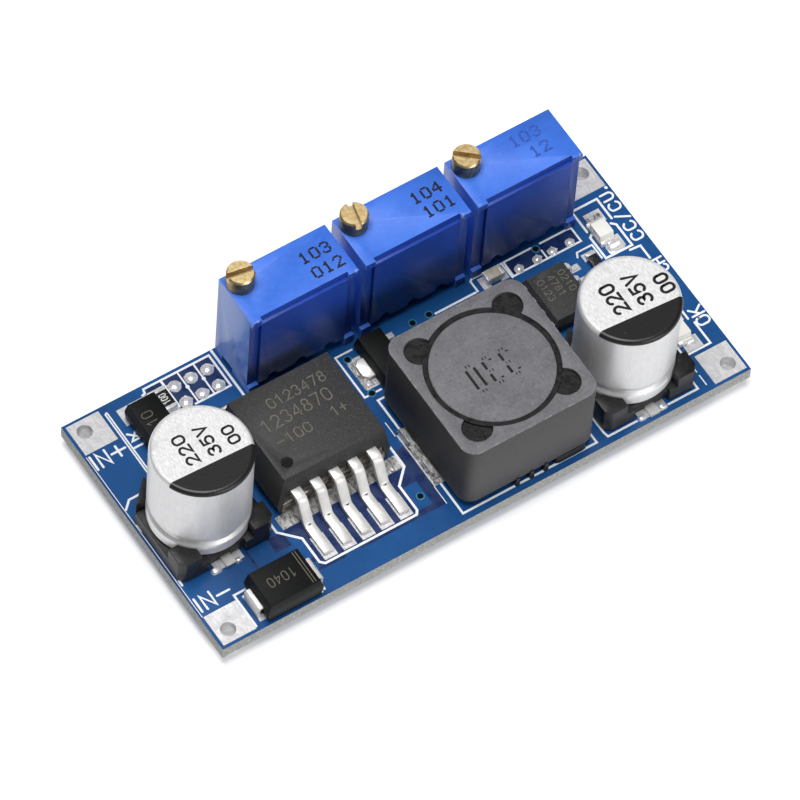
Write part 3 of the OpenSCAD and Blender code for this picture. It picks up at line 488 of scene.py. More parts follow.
LENS = plain("lamp_resin", (0.96, 0.95, 0.90), (0.92, 0.90, 0.82), 0.18, 0.003)
# the regulator's tab: cut copper, darkened partly as painted shade, since it lies in shadow behind and under
# the body
CUT_COPPER_AND_SHADE = plain("cut_copper_and_shade", (0.46, 0.42, 0.36), (0.12, 0.10, 0.08), 0.42, 0.06, 2.2, metal=0.5)
# painted shade of the punched dents in the regulator's leads
DENT_SHADE = plain("punched_dent_shade", (0.10, 0.10, 0.10), (0.05, 0.05, 0.05), 0.4, metal=0.5)
WHITE = plain("white_print", (0.80, 0.80, 0.78), (0.62, 0.62, 0.60), 0.5)
GHOST = plain("faded_print", (0.022, 0.085, 0.46), (0.016, 0.070, 0.38), 0.6)


# ---------------------------------------------------------------- mesh tools


def piece(name, verts, faces, material, body="board", smooth=None):
    """A piece from board millimetres. Edges flatter than smooth, in degrees, are shaded smooth."""
    mesh = bpy.data.meshes.new(name)
    mesh.from_pydata([put(*v) for v in verts], [], faces)
    mesh.update()
    mesh.materials.append(material)
    obj = bpy.data.objects.new(name, mesh)
    bpy.context.scene.collection.objects.link(obj)
    if smooth is not None:
        for p in mesh.polygons:
            p.use_smooth = True
        mesh.set_sharp_from_angle(angle=math.radians(smooth))
    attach(obj, body)


def dress(node, material, bevel=0.0):
    """Gives a CAD node its finish. With a bevel, a copy with rounded edges stands for it."""
    source = frame["nodes"][node]
    if not bevel:
        source.data.materials.clear()
        source.data.materials.append(material)
        return source
    mesh = source.data.copy()
    mesh.name = node + "_dressed"
    mesh.materials.clear()
    bm = bmesh.new()
    bm.from_mesh(mesh)
    bmesh.ops.remove_doubles(bm, verts=bm.verts, dist=1e-7)
    bmesh.ops.dissolve_limit(bm, angle_limit=math.radians(1.5), verts=bm.verts, edges=bm.edges)
    bm.normal_update()
    bm.to_mesh(mesh)
    bm.free()
    mesh.validate()
    mesh.materials.append(material)
    obj = bpy.data.objects.new(mesh.name, mesh)
    bpy.context.scene.collection.objects.link(obj)
    for p in mesh.polygons:
        p.use_smooth = True
    mod = obj.modifiers.new("round", "BEVEL")
    mod.width = bevel * MM
    mod.segments = 2
    mod.limit_method = "ANGLE"
    mod.angle_limit = math.radians(28)
    mod.use_clamp_overlap = True
    mod.harden_normals = True
    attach(obj, source["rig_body"])
    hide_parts(node)
    return obj


def borders(points, width):
    """Left and right borders of a stroke, mitred at its corners."""
    pts = [Vector(p) for p in points]
    left, right = [], []
    for i, p in enumerate(pts):
        d1 = (p - pts[i - 1]).normalized() if i else None
        d2 = (pts[i + 1] - p).normalized() if i < len(pts) - 1 else None
        d1 = d1 or d2
        d2 = d2 or d1
        n1, n2 = Vector((-d1.y, d1.x)), Vector((-d2.y, d2.x))
        mitre = (n1 + n2 if (n1 + n2).length > 0.2 else n1).normalized()
        reach = mitre * (width / 2 / max(0.45, mitre.dot(n1)))
        left.append(p + reach)
        right.append(p - reach)
    return left, right


class Sheet:
    """Collects thin raised shapes and makes one piece of them."""

    def __init__(self, name, material, z, thick=0.02):
        self.name, self.material, self.z, self.thick = name, material, z, thick
        self.verts, self.faces, self.count = [], [], 0

    def next_thick(self):
        """Each shape is a hair thicker than the last, so that tops which cross don't coincide."""
        self.count += 1
        return self.thick + 0.0002 * ((self.count - 1) % 20)

    def area(self, loop):
        """A flat shape with a raised border, from an outline that runs either way round."""
        z, t = self.z, self.next_thick()
        if sum(a[0] * b[1] - b[0] * a[1] for a, b in zip(loop, list(loop[1:]) + [loop[0]])) < 0:
            loop = loop[::-1]
        n, s = len(loop), len(self.verts)
        self.verts += [(p[0], p[1], z) for p in loop] + [(p[0], p[1], z + t) for p in loop]
        self.faces.append([s + n + i for i in range(n)])
        self.faces += [[s + i, s + (i + 1) % n, s + n + (i + 1) % n, s + n + i] for i in range(n)]

    def stroke(self, points, width, caps=True):
        """A raised line of quads, with round ends unless caps is False."""
        left, right = borders(points, width)
        z, t, s, n = self.z, self.next_thick(), len(self.verts), len(left)
        for side, level in ((left, z), (left, z + t), (right, z + t), (right, z)):
            self.verts += [(p[0], p[1], level) for p in side]
        for i in range(n - 1):
            for band in range(3):
                a = s + band * n + i
                self.faces.append([a, a + 1, a + n + 1, a + n])
        if not caps:
            return
        for end, inner in ((0, 1), (n - 1, n - 2)):
            middle = (left[end] + right[end]) / 2
            way = middle - (left[inner] + right[inner]) / 2
            turn = math.atan2(way.y, way.x)
            ends = [turn + math.radians(b) for b in (90, 60, 30, 0, -30, -60, -90)]
            ring = [middle + width / 2 * Vector((math.cos(b), math.sin(b))) for b in ends]
            s = len(self.verts)
            self.verts += [(p[0], p[1], z + t) for p in ring] + [(p[0], p[1], z) for p in ring]
            self.faces.append([s + 6 - k for k in range(7)])
            self.faces += [[s + k, s + k + 1, s + k + 8, s + k + 7] for k in range(6)]

    def text(self, words, x, y, height, width, angle, stroke, gap):
        """Stroked letters from a baseline start, each width wide with a gap between."""
        a = math.radians(angle)
        along, up = Vector((math.cos(a), math.sin(a))), Vector((-math.sin(a), math.cos(a)))
        at = Vector((x, y))
        for letter in words:
            for points in LETTERS[letter]:
                self.stroke([at + along * (u * width) + up * (v * height) for u, v in points], stroke)
            at = at + along * (width * (0.0 if letter == "I" else 1.0) + gap)

    def make(self, smooth=None):
        """Makes the piece from all that was collected."""
        piece(self.name, self.verts, self.faces, self.material, smooth=smooth)


def arc(cx, cy, rx, ry, start, end, steps=10):
    """Points of an ellipse from one angle to another, in degrees."""
    turns = [math.radians(start + (end - start) * k / steps) for k in range(steps + 1)]
    return [(cx + rx * math.cos(a), cy + ry * math.sin(a)) for a in turns]


# Strokes of each letter in a box of 1 by 1
LETTERS = {
    "0": [arc(0.5, 0.70, 0.5, 0.30, 0, 180) + arc(0.5, 0.30, 0.5, 0.30, 180, 360) + [(1.0, 0.70)]],
    "1": [[(0.15, 0.78), (0.55, 1.0), (0.55, 0.0)]],
    "2": [arc(0.5, 0.70, 0.48, 0.30, 165, -35) + [(0.0, 0.0), (1.0, 0.0)]],
    "3": [arc(0.48, 0.76, 0.44, 0.24, 160, -80) + arc(0.48, 0.27, 0.50, 0.27, 85, -160)],
    "4": [[(0.78, 0.0), (0.78, 1.0), (0.0, 0.30), (1.0, 0.30)]],
    "5": [[(0.92, 1.0), (0.15, 1.0), (0.06, 0.52)] + arc(0.46, 0.33, 0.50, 0.33, 130, -150)],
    "7": [[(0.0, 1.0), (1.0, 1.0), (0.38, 0.0)]],
    "8": [arc(0.5, 0.76, 0.40, 0.24, -90, 270, 16), arc(0.5, 0.26, 0.5, 0.26, 90, 450, 16)],
    "C": [arc(0.55, 0.70, 0.55, 0.30, 20, 180, 8) + arc(0.55, 0.30, 0.55, 0.30, 180, 340, 8)],
    "H": [[(0.0, 0.0), (0.0, 1.0)], [(1.0, 0.0), (1.0, 1.0)], [(0.0, 0.5), (1.0, 0.5)]],
    "I": [[(0.0, 0.0), (0.0, 1.0)]],
    "K": [[(0.0, 0.0), (0.0, 1.0)], [(0.95, 1.0), (0.05, 0.40)], [(0.35, 0.62), (1.0, 0.0)]],
    "N": [[(0.0, 0.0), (0.0, 1.0), (1.0, 0.0), (1.0, 1.0)]],
    "O": [arc(0.5, 0.68, 0.5, 0.32, 0, 180) + arc(0.5, 0.32, 0.5, 0.32, 180, 360) + [(1.0, 0.68)]],
    "U": [[(0.0, 1.0)] + arc(0.5, 0.35, 0.5, 0.35, 180, 360) + [(1.0, 1.0)]],
    "V": [[(0.0, 1.0), (0.5, 0.0), (1.0, 1.0)]],
    "+": [[(0.0, 0.5), (1.0, 0.5)], [(0.5, 0.12), (0.5, 0.88)]],
    "-": [[(0.0, 0.5), (1.0, 0.5)]],
    "/": [[(0.0, -0.05), (0.9, 1.05)]],
    ".": [[(0.3, 0.0), (0.36, 0.02)]],
}


def disc(x, y, radius):
    """A round outline."""
    return arc(x, y, radius, radius, 0, 345, 23)


def box_loop(x0, y0, x1, y1):
    """A rectangle's outline."""
    return [(x0, y0), (x1, y0), (x1, y1), (x0, y1)]


def fillet(sheet, x0, y0, x1, y1, inner, height, bulge):
    """A meniscus from the rectangle x0..x1, y0..y1 up to the smaller one in inner.
    It is hollow at bulge 0 and round at bulge 1, and goes into the given sheet."""
    rings, around = 6, 24
    ax, ay, aw, ah = (x0 + x1) / 2, (y0 + y1) / 2, (x1 - x0) / 2, (y1 - y0) / 2
    bx, by = (inner[0] + inner[2]) / 2, (inner[1] + inner[3]) / 2
    bw, bh = (inner[2] - inner[0]) / 2, (inner[3] - inner[1]) / 2
    s = len(sheet.verts)
    for r in range(rings + 1):
        t = r / rings
        rise = (1 - bulge) * t ** 2.2 + bulge * math.sin(t * math.pi / 2)
        cx, cy = ax + (bx - ax) * t, ay + (by - ay) * t
        w, h = aw + (bw - aw) * t, ah + (bh - ah) * t
        for k in range(around):
            a = 2 * math.pi * k / around
            c, d = math.cos(a), math.sin(a)
            sx = math.copysign(abs(c) ** 0.45, c)
            sy = math.copysign(abs(d) ** 0.45, d)
            sheet.verts.append((cx + w * sx, cy + h * sy, sheet.z + height * rise))
    for r in range(rings):
        a, b = s + r * around, s + (r + 1) * around
        sheet.faces += [[a + k, a + (k + 1) % around, b + (k + 1) % around, b + k] for k in range(around)]
    sheet.faces.append([s + rings * around + k for k in range(around)])


# ---------------------------------------------------------------- board

dress("circuit_board", MASK)
dress("terminal_pads", TIN)
dress("solder_pads", TIN)
dress("solder_bumps", SOLDER)
dress("trimpot_solder", SOLDER)

INK = 0.022
LINE = 0.18
# Each line's points and width
SILK_LINES = [
    # left edge
    ([(3.62, 22.30), (3.47, 22.20), (3.47, 9.0)], 0.125), ([(3.66, 22.22), (3.66, 9.0)], 0.125),
    ([(0.20, 19.7), (0.20, 3.2)], 0.06), ([(0.30, 12.6), (0.36, 11.95)], 0.14),
    ([(2.15, 14.84), (0.98, 14.83), (0.32, 14.19)], LINE), ([(0.40, 6.35), (0.40, 6.85)], LINE),
    # reverse diode: its sign
    ([(3.95, 19.85), (4.75, 19.15)], LINE), ([(4.70, 19.85), (3.98, 19.10), (4.72, 19.10)], LINE),
    ([(3.80, 18.53), (4.70, 18.53)], LINE),
    # box of the resistor and the two rows of three bumps
    ([(6.80, 22.20), (7.05, 22.25), (7.15, 22.64), (13.06, 22.64), (13.06, 19.47), (9.90, 19.47)], LINE),
    ([(8.69, 22.5), (8.69, 19.9)], 0.2), ([(10.17, 22.5), (10.17, 19.6)], 0.14),
    ([(11.62, 22.5), (11.62, 19.6)], 0.14), ([(10.17, 21.07), (10.17, 21.09)], 0.32),
    ([(11.62, 21.07), (11.62, 21.09)], 0.32), ([(13.45, 22.9), (13.45, 18.27)], 0.2),
    ([(10.5, 17.84), (20.1, 17.84)], 0.12),
    # input diode
    ([(3.25, 0.43), (3.25, 3.58), (4.70, 3.58)], LINE), ([(9.43, 2.86), (9.39, 0.50)], LINE),
    ([(9.07, 0.43), (9.09, 0.43)], 0.26),
    # regulator
    ([(8.98, 16.4), (8.98, 6.57), (10.35, 5.12), (10.35, 2.70), (10.68, 2.38), (18.90, 2.38), (19.15, 2.70),
      (19.15, 5.20), (20.44, 6.49), (20.44, 8.43)], 0.2),
    # inductor
    ([(21.97, 3.75), (21.97, 0.64), (34.16, 0.63), (34.16, 1.60)], LINE),
    ([(21.40, 3.75), (21.40, 2.06)], 0.07),
    ([(22.70, 12.48), (21.93, 12.48), (21.93, 9.50)], LINE), ([(21.32, 10.5), (21.32, 9.1)], 0.07),
    ([(30.0, 16.8), (33.7, 16.8)], LINE),
    # chip capacitor behind the inductor
    ([(33.90, 16.8), (33.90, 17.85), (34.10, 18.0), (36.85, 18.0), (36.90, 16.5)], 0.16),
    # reference
    ([(22.70, 17.39), (21.21, 17.39), (21.21, 13.21), (22.70, 13.21)], 0.16),
    # row of four bumps
    ([(39.60, 18.0), (37.05, 18.0), (37.03, 16.53), (43.27, 16.53), (43.27, 17.93), (42.85, 18.0),
      (40.42, 18.0)], 0.16),
    ([(40.18, 17.4), (40.18, 16.5)], 0.14), ([(42.2, 15.4), (42.4, 15.8), (43.8, 15.8), (43.8, 14.4)], 0.15),
    # output capacitor
    ([(35.10, 9.5), (35.10, 1.10), (35.20, 0.63), (37.85, 0.63)], LINE),
    ([(40.75, 0.63), (43.48, 0.63), (43.48, 1.50)], LINE), ([(44.24, 2.77), (44.24, 2.05)], 0.10),
    ([(44.24, 1.97), (44.24, 1.93)], 0.10), ([(44.24, 1.55), (44.24, 0.60)], 0.10),
    # lamps
    ([(44.13, 16.97), (44.13, 19.15), (46.47, 19.15), (46.47, 17.05)], 0.19),
    ([(44.37, 16.65), (44.05, 16.40), (44.05, 14.20), (46.47, 14.18), (46.47, 16.40), (46.15, 16.70)], 0.19),
    ([(46.07, 13.88), (46.98, 13.80), (46.98, 12.46)], LINE),
    ([(46.63, 5.76), (46.63, 3.58), (44.20, 3.58), (44.20, 4.60)], LINE),
    ([(46.38, 6.3), (46.38, 7.9), (44.5, 7.9)], LINE),
]
silk = Sheet("silkscreen_lines", SILK, 0.0, INK)
for points, width in SILK_LINES:
    silk.stroke(points, width)
silk.make()

# Each label's baseline start, letter height and width, turn, line width and gap
SILK_WORDS = [
    ("I", 0.41, 18.30, 1.28, 0.90, 0, 0.19, 0.30), ("N", 0.88, 18.30, 1.28, 0.80, 0, 0.19, 0.30),
    ("+", 2.00, 18.30, 1.28, 1.20, 0, 0.19, 0.30), ("I", 0.47, 3.60, 1.26, 0.90, 0, 0.18, 0.30),
    ("N", 0.95, 3.60, 1.26, 0.82, 0, 0.18, 0.30), ("-", 2.15, 3.58, 1.26, 1.08, 0, 0.18, 0.30),
    ("CC/CU", 47.77, 14.38, 0.96, 0.63, 90, 0.17, 0.42), (".", 47.68, 19.45, 0.96, 0.63, 90, 0.24, 0.42),
    ("CH", 47.78, 10.92, 0.92, 0.50, 90, 0.17, 0.24), ("OK", 47.85, 5.25, 1.08, 0.70, 90, 0.17, 0.28),
]
labels = Sheet("silkscreen_words", SILK, 0.0, INK)
for label in SILK_WORDS:
    labels.text(*label)
labels.make()

# gaps in the copper under the mask look darker
GAPS = [
    [(9.5, 6.42), (20.4, 6.42), (19.3, 5.3), (19.3, 2.4), (10.2, 2.4), (10.2, 5.2), (9.2, 6.3)],
    box_loop(10.0, 2.05, 12.4, 2.3), box_loop(13.7, 2.05, 19.2, 2.3), box_loop(19.2, 2.05, 21.4, 2.6),
    box_loop(20.5, 2.6, 21.4, 8.0), [(19.3, 4.9), (20.5, 4.9), (20.5, 6.3), (19.3, 5.2)],
    box_loop(6.0, 4.6, 6.2, 6.3), [(8.0, 5.05), (9.4, 5.05), (9.4, 6.0), (9.1, 6.4), (8.0, 6.4)],
    box_loop(9.5, 2.9, 10.2, 3.3), box_loop(7.2, 19.55, 13.0, 22.55), box_loop(37.1, 16.6, 43.2, 17.93),
    box_loop(0.10, 3.2, 0.17, 19.7),
]
gaps = Sheet("mask_gaps", NAVY, 0.0, 0.004)
for loop in GAPS:
    gaps.area(loop)
gaps.make()

# vias, on the lands' level: a rim round each, and a dark disc of painted shade where its hole is
LAND_TOP = 0.06
VIAS = ((20.025, 3.6), (21.875, 13.25), (21.925, 16.77), (28.0, 16.97), (29.5, 16.97), (39.85, 17.72))
rims = Sheet("via_rims", RIM, LAND_TOP, 0.004)
hole_shades = Sheet("via_hole_shade", HOLE, LAND_TOP + 0.004, 0.005)
for x, y in VIAS:
    rims.area(disc(x, y, 0.345))
    hole_shades.area(disc(x, y, 0.25))
rims.make()
hole_shades.make()

# lands left rough where the big parts were soldered
rough_lands = Sheet("rough_lands", ROUGH_TIN, LAND_TOP, 0.006)
for corners in ((9.55, 6.45, 20.2, 7.7), (21.5, 3.8, 22.08, 9.0), (21.62, 13.75, 22.9, 16.35),
                (44.6, 17.1, 45.9, 18.0)):
    rough_lands.area(box_loop(*corners))
rough_lands.make()

# ragged solder skirts under the bumps
chance = random.Random(7)
skirts = Sheet("bump_skirts", SOLDER, LAND_TOP, 0.03)
# Each bump's place and radius
BUMPS = [(x, y, 0.50) for x in (9.345, 10.825, 12.285) for y in (21.63, 19.97)]
BUMPS += [(x, 16.87, 0.38) for x in (37.75, 39.43, 40.83, 42.45)]
for x, y, r in BUMPS:
    star = []
    for k in range(20):
        a = k * math.pi / 10
        reach = r * (0.98 + 0.45 * (k % 4 == 0) * chance.random() + 0.14 * chance.random())
        star.append((x + reach * math.cos(a), y + 0.85 * reach * math.sin(a)))
    skirts.area(star)
skirts.make()

# solder frozen on the lands beside the parts: foot, top, height and bulge of each joint
joints = Sheet("solder_fillets", SOLDER, 0.0)
for x0, y0, x1, y1, inner, height, bulge in (
        (22.07, 14.55, 22.95, 16.10, (22.55, 14.9, 22.85, 15.8), 0.22, 0.7),
        (21.85, 13.85, 22.40, 14.35, (22.0, 13.95, 22.25, 14.2), 0.12, 0.9),
        (44.55, 14.30, 46.05, 15.30, (44.8, 14.9, 45.8, 15.2), 0.40, 0.1),
        (44.70, 3.80, 46.06, 4.95, (44.85, 4.5, 45.7, 4.8), 0.40, 0.1),
        (40.55, 14.9, 41.25, 15.5, (40.6, 15.0, 41.0, 15.3), 0.35, 0.9),
        (41.35, 14.4, 41.9, 15.0, (41.4, 14.6, 41.7, 14.9), 0.20, 0.9),
        (40.6, 13.6, 41.2, 14.2, (40.65, 13.7, 41.0, 14.0), 0.25, 0.9),
        (2.85, 5.80, 3.72, 6.34, (3.0, 5.9, 3.6, 6.3), 0.22, 0.8),
        (4.95, 5.80, 5.45, 6.28, (5.05, 5.9, 5.4, 6.2), 0.20, 0.8),
        (38.0, 0.42, 38.75, 0.92, (38.1, 0.5, 38.6, 0.85), 0.20, 0.8),
        (39.9, 0.40, 40.6, 0.92, (40.0, 0.5, 40.5, 0.85), 0.24, 0.8)):
    fillet(joints, x0, y0, x1, y1, inner, height, bulge)
joints.make(60)

# ---------------------------------------------------------------- trimpots

for n in (1, 2, 3):
    t = f"trimpot_{n}_"
    dress(t + "housing", POT, 0.07)
    lid = dress(t + "lid", LID, 0.04)
    # the seal's face shows 0.06 mm behind the housing's rim
    depth = node_box(t + "lid")[0].y - node_box(t + "housing")[0].y - 0.06
    lid.data.transform(Matrix.Translation((0, -depth * MM, 0)))
    for part, material in (("pins", LEAD), ("element", CERAMIC), ("screw", BRASS), ("o_ring", RUBBER),
                           ("wheel", WHEEL), ("wiper", SPRING)):
        dress(t + part, material)

# Ink dots of each digit, from the top row down
DOTS = {
    "0": ("01110", "10001", "10001", "10001", "10001", "10001", "01110"),
    "1": ("00100", "01100", "00100", "00100", "00100", "00100", "01110"),
    "2": ("01110", "10001", "00001", "00010", "00100", "01000", "11111"),
    "3": ("01110", "10001", "00001", "00110", "00001", "10001", "01110"),
    "4": ("00010", "00110", "01010", "10010", "11111", "00010", "00010"),
}
DOT_PITCH = 0.15
DIGIT_PITCH = 6.4 * DOT_PITCH
DOT_TURNS = [k * math.pi / 4 + 0.39 for k in range(8)]


def dot_print(name, digits, x, y, material):
    """Digits printed as rows of ink dots on top of a trimpot, from the lower left one."""
    sheet = Sheet(name, material, node_box("trimpot_1_housing")[1].z, 0.004)
    for i, digit in enumerate(digits):
        for row, line in enumerate(DOTS[digit]):
            for column, dot in enumerate(line):
                if dot == "1":
                    cx = x + i * DIGIT_PITCH + column * DOT_PITCH
                    cy = y + (6 - row) * DOT_PITCH
                    sheet.area([(cx + 0.72 * DOT_PITCH * math.cos(a), cy + 0.64 * DOT_PITCH * math.sin(a))
                                for a in DOT_TURNS])
    sheet.make()


dot_print("trimpot_1_print", "103", 19.95, 20.60, PRINT)
dot_print("trimpot_2_print", "104", 30.15, 20.78, PRINT)
dot_print("trimpot_3_print", "103", 39.45, 21.20, GHOST)
dot_print("trimpot_1_print_2", "012", 20.15, 19.02, PRINT)
dot_print("trimpot_2_print_2", "101", 30.35, 19.24, PRINT)
dot_print("trimpot_3_print_2", "12", 40.35, 19.66, GHOST)

# ---------------------------------------------------------------- regulator

dress("regulator_body", EPOXY, 0.05)
# the tab: cut copper with partly painted shade
dress("regulator_tab", CUT_COPPER_AND_SHADE, 0.03)
dress("regulator_leads", LEAD, 0.03)
reg_top = node_box("regulator_body")[1].z
marks = Sheet("regulator_marks", LASER, reg_top, 0.003)
for digits, x, y, height, width, stroke, gap in (
        ("0123478", 12.9, 13.78, 0.86, 0.52, 0.10, 0.24), ("1234870", 11.45, 12.12, 1.08, 0.62, 0.11, 0.29),
        ("-100", 11.7, 10.52, 0.86, 0.55, 0.10, 0.26), ("1+", 16.7, 10.72, 0.86, 0.50, 0.10, 0.26)):
    marks.text(digits, x, y, height, width, 1, stroke, gap)
marks.make()

ejector = Sheet("regulator_ejector_mark", DARK, reg_top - 0.3, 0.004)
ejector.area(disc(11.425, 9.18, 0.465))
ejector.make()


def first_flat(skin, x):
    """Place and normal of a lead's first nearly level spot below z 2.2, going outwards from the body."""
    for step in range(60):
        start = put(x, 6.4 - 0.04 * step, 9.0)
        hit, normal, _, _ = skin.ray_cast(start, Vector((0, 0, -1)))
        if hit is not None and normal.z > 0.80 and hit.z < put(0, 0, 2.2).z:
            return hit, normal


def lead_dent_shades():
    """A punch mark on each lead, as a flat diamond of painted shade a hair above the metal."""
    leads = frame["nodes"]["regulator_leads"].data
    skin = BVHTree.FromPolygons([v.co for v in leads.vertices], [p.vertices for p in leads.polygons])
    middle, pitch = node_middle("regulator_leads").x, 1.7
    across = Vector((1, 0, 0))
    verts, faces = [], []
    for k in range(-2, 3):
        hit, normal = first_flat(skin, middle + k * pitch)
        along = normal.cross(across).normalized()
        spot = on_board(hit + normal * 0.006 * MM)
        s = len(verts)
        verts += [spot + across * a + along * b for a, b in ((-0.17, 0), (0, -0.15), (0.17, 0), (0, 0.15))]
        faces.append([s, s + 1, s + 2, s + 3])
    piece("regulator_lead_dent_shades", verts, faces, DENT_SHADE)


lead_dent_shades()

# ---------------------------------------------------------------- inductor

dress("inductor_shield", FERRITE, 0.07)
dress("inductor_drum", FERRITE, 0.03)
dress("inductor_glue", GLUE)
dress("inductor_winding", COPPER)
dress("inductor_base", BASE)
dress("inductor_terminals", ROUGH_TIN)

# the value is stamped in dashes and dots, upside down: strokes of each digit in a box of 1 by 1
DASHES = {
    "0": ([(0.08, 0.12), (0.08, 0.88)], [(0.92, 0.12), (0.92, 0.88)],
          [(0.30, 0.0), (0.42, 0.0)], [(0.62, 0.0), (0.74, 0.0)],
          [(0.30, 1.0), (0.42, 1.0)], [(0.62, 1.0), (0.74, 1.0)]),
    "3": ([(0.12, 0.10), (0.12, 0.16)], [(0.30, 0.0), (0.42, 0.0)], [(0.62, 0.0), (0.74, 0.0)],
          [(0.92, 0.10), (0.92, 0.40)], [(0.45, 0.5), (0.55, 0.5)], [(0.78, 0.5), (0.86, 0.5)],
          [(0.92, 0.60), (0.92, 0.90)], [(0.62, 1.0), (0.74, 1.0)], [(0.30, 1.0), (0.42, 1.0)],
          [(0.12, 0.84), (0.12, 0.90)]),
}
value = Sheet("inductor_value", PRINT, node_box("inductor_drum")[1].z, 0.003)
for i, digit in enumerate("330"):
    x, y = INDUCTOR.x + 1.8 - 1.5 * i, INDUCTOR.y + 0.97
    for points in DASHES[digit]:
        value.stroke([(x - 0.84 * u, y - 2.45 * v) for u, v in points], 0.23, caps=False)
value.make()

# moulded feet of the base peep out under the ferrite's front
feet = Sheet("inductor_base_feet", BASE, 0.0)
under = node_box("inductor_shield")[0].z
for x in (26.9, 28.2, 29.5):
    fillet(feet, x - 0.22, 0.50, x + 0.22, 1.1, (x - 0.14, 0.58, x + 0.14, 1.1), under + 0.2, 1.0)
fillet(feet, 30.4, 0.56, 33.2, 1.1, (30.5, 0.62, 33.1, 1.1), under + 0.02, 1.0)
feet.make(60)

# ---------------------------------------------------------------- capacitors

for side in ("input", "output"):
    dress(side + "_capacitor_can", CAN)
    dress(side + "_capacitor_base", BASE, 0.06)
    dress(side + "_capacitor_leads", LEAD)


def can_print(side, chord, tilt, weight, lines):
    """The value, and the black sector of the negative side.
    chord is how far the sector's straight edge lies from the can's middle, and tilt its turn in degrees."""
    low, high = node_box(side + "_capacitor_can")
    middle, roll = (low + high) / 2, 0.34
    r = (high.x - low.x) / 2 - roll
    sheet = Sheet(side + "_capacitor_print", PRINT, high.z, 0.004)
    a, steps = math.asin(chord / r), 40
    turns = [math.pi + a + math.radians(tilt) + (math.pi - 2 * a) * k / steps for k in range(steps + 1)]
    sheet.area([(middle.x + r * math.cos(t), middle.y + r * math.sin(t)) for t in turns])
    for digits, x, y, height, width, gap in lines:
        sheet.text(digits, x, y, height, width, 90, weight, gap)
    # the sector's ink runs on over the rolled shoulder, a hair outside it
    s, skin = len(sheet.verts), roll + 0.005
    for t in turns:
        for k in range(7):
            b = math.radians(15 * k)
            out = r + skin * math.sin(b)
            sheet.verts.append((middle.x + out * math.cos(t), middle.y + out * math.sin(t),
                                high.z - roll + skin * math.cos(b)))
    for i in range(steps):
        for k in range(6):
            a = s + 7 * i + k
            sheet.faces.append([a, a + 1, a + 8, a + 7])
    sheet.make(40)


can_print("input", 1.45, -2.0, 0.20,
          [("220", 3.84, 9.78, 0.92, 0.66, 0.34), ("35V", 5.70, 9.66, 0.92, 0.68, 0.32),
           ("00", 7.45, 9.75, 0.86, 0.62, 0.30)])
can_print("output", 1.55, -4.0, 0.24,
          [("220", 38.80, 4.28, 1.12, 0.66, 0.34), ("35V", 40.85, 4.08, 1.12, 0.70, 0.34),
           ("00", 42.85, 4.05, 1.05, 0.64, 0.34)])

# ---------------------------------------------------------------- small parts

for node, material, bevel in (
        ("input_diode_body", DARK, 0.05), ("input_diode_leads", LEAD, 0.02),
        ("reverse_diode_body", DARK, 0.05), ("reverse_diode_leads", LEAD, 0.02),
        ("reference_body", DARK, 0.04), ("reference_leads", LEAD, 0.02),
        ("amplifier_body", EPOXY, 0.04), ("amplifier_leads", SOLDER, 0.015),
        ("chip_resistors", RESISTOR, 0.02), ("chip_resistor_ends", SOLDER, 0.02),
        ("chip_capacitors", CHIP, 0.03), ("chip_capacitor_ends", SOLDER, 0.03),
        ("indicator_bases", LAMP_BASE, 0.0), ("indicator_lenses", LENS, 0.04),
        ("indicator_ends", SOLDER, 0.02)):
    dress(node, material, bevel)

# laser marks: the input diode's two-line band and number, the reverse diode's and the amplifier's numbers
faint = Sheet("diode_marks", LASER, 0.0, 0.003)
low, high = node_box("input_diode_body")
faint.z = high.z
for x in (high.x - 0.62, high.x - 0.86):
    faint.stroke([(x, low.y + 0.22), (x, high.y - 0.22)], 0.07, caps=False)
faint.text("1040", 7.55, 2.42, 0.82, 0.40, 180, 0.07, 0.22)
middle = node_middle("reverse_diode_body")
faint.z = node_box("reverse_diode_body")[1].z
faint.text("10", middle.x + 0.1, middle.y - 0.5, 0.9, 0.5, 90, 0.07, 0.25)
low, high = node_box("amplifier_body")
faint.z = high.z
for row, digits in enumerate(("0123", "4781", "0210")):
    faint.text(digits, low.x + 0.75 + 0.95 * row, high.y - 0.9, 0.55, 0.36, -90, 0.08, 0.18)
faint.make()

resistor_marks = Sheet("resistor_marks", WHITE, node_box("chip_resistors")[1].z, 0.003)
resistor_marks.text("100", 8.15, 20.32, 0.55, 0.22, 90, 0.08, 0.12)
resistor_marks.make()

# ---------------------------------------------------------------- stage and camera

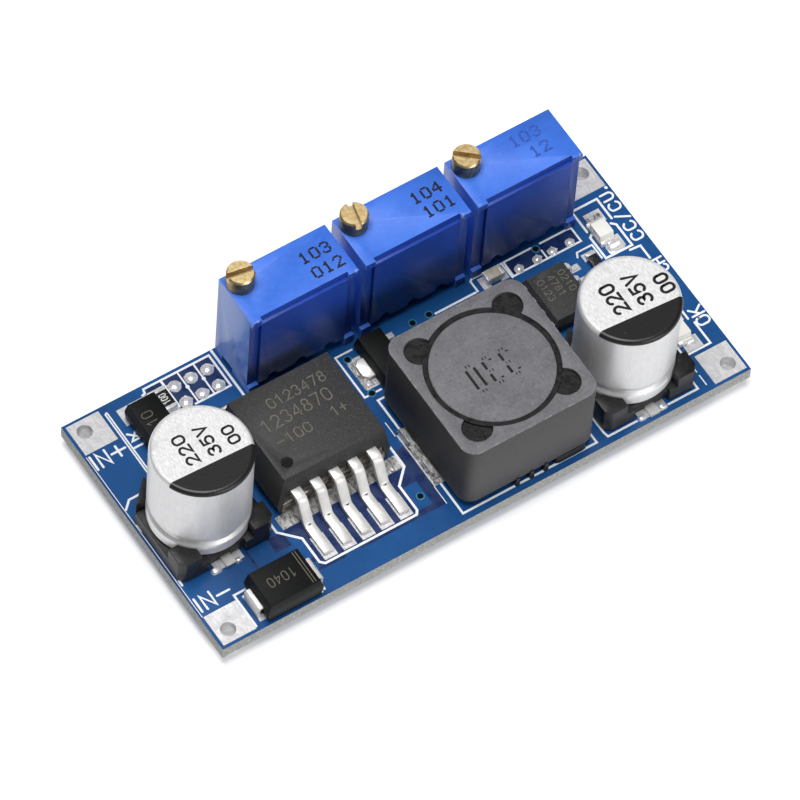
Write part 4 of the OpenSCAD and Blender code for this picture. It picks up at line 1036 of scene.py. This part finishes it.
# the floor is white to the camera and in reflections, the world to the camera and through clear parts,
# and both are dimmer as sources of light
stage = Shade("stage_white", (0.90, 0.90, 0.90), 0.9)
ray = stage.tree.nodes.new("ShaderNodeLightPath")
glow = stage.math("MAXIMUM", ray.outputs["Is Camera Ray"], ray.outputs["Is Glossy Ray"])
stage.paint(stage.mix(glow, (0.72, 0.72, 0.72), (0.90, 0.90, 0.90)))
stage.set("Emission Color", (1.0, 1.0, 1.0))
stage.to(stage.math("MULTIPLY", glow, 0.25), "Emission Strength")
floor_mesh = bpy.data.meshes.new("floor")
floor_mesh.from_pydata([(-3, -3, 0), (3, -3, 0), (3, 3, 0), (-3, 3, 0)], [], [[0, 1, 2, 3]])
floor_mesh.materials.append(stage.mat)
floor = bpy.data.objects.new("floor", floor_mesh)
bpy.context.scene.collection.objects.link(floor)

world = bpy.data.worlds.new("studio")
bpy.context.scene.world = world
world.use_nodes = True
tree = world.node_tree
back = tree.nodes["Background"]
path = tree.nodes.new("ShaderNodeLightPath")
seen = tree.nodes.new("ShaderNodeMath")
seen.operation = "MAXIMUM"
tree.links.new(path.outputs["Is Camera Ray"], seen.inputs[0])
tree.links.new(path.outputs["Is Transmission Ray"], seen.inputs[1])
blend = tree.nodes.new("ShaderNodeMix")
blend.data_type = "FLOAT"
blend.inputs[2].default_value = 0.10
blend.inputs[3].default_value = 1.0
tree.links.new(seen.outputs[0], blend.inputs[0])
tree.links.new(blend.outputs[0], back.inputs["Strength"])
back.inputs["Color"].default_value = (1.0, 1.0, 1.0, 1.0)


def lamp(name, at, size, power):
    """A rectangle of light that faces the module."""
    data = bpy.data.lights.new(name, "AREA")
    data.shape = "RECTANGLE"
    data.size, data.size_y = size
    data.energy = power
    obj = bpy.data.objects.new(name, data)
    bpy.context.scene.collection.objects.link(obj)
    obj.location = at
    obj.rotation_euler = (-Vector(at)).to_track_quat("-Z", "Y").to_euler()


lamp("key", (-0.06, 0.04, 0.70), (0.40, 0.40), 4.6)
lamp("front", (0.12, -0.60, 0.30), (0.40, 0.25), 1.8)

# the camera of a fit to the board's and trimpots' corners and the regulator's lead feet in the photo
camera_data = bpy.data.cameras.new("camera")
camera_data.sensor_width = 36.0
camera_data.lens = 398.07
camera_data.clip_start = 0.01
camera = bpy.data.objects.new("camera", camera_data)
bpy.context.scene.collection.objects.link(camera)
right, up, backward = ((0.83816, -0.54349, 0.04592), (0.44043, 0.72408, 0.53078),
                       (-0.32172, -0.42466, 0.84626))
camera_at = (-0.217988, -0.286800, 0.574030)
camera.matrix_world = Matrix([*zip(right, up, backward, camera_at), (0, 0, 0, 1)])
bpy.context.scene.camera = camera
bpy.context.scene.view_settings.view_transform = "Standard"
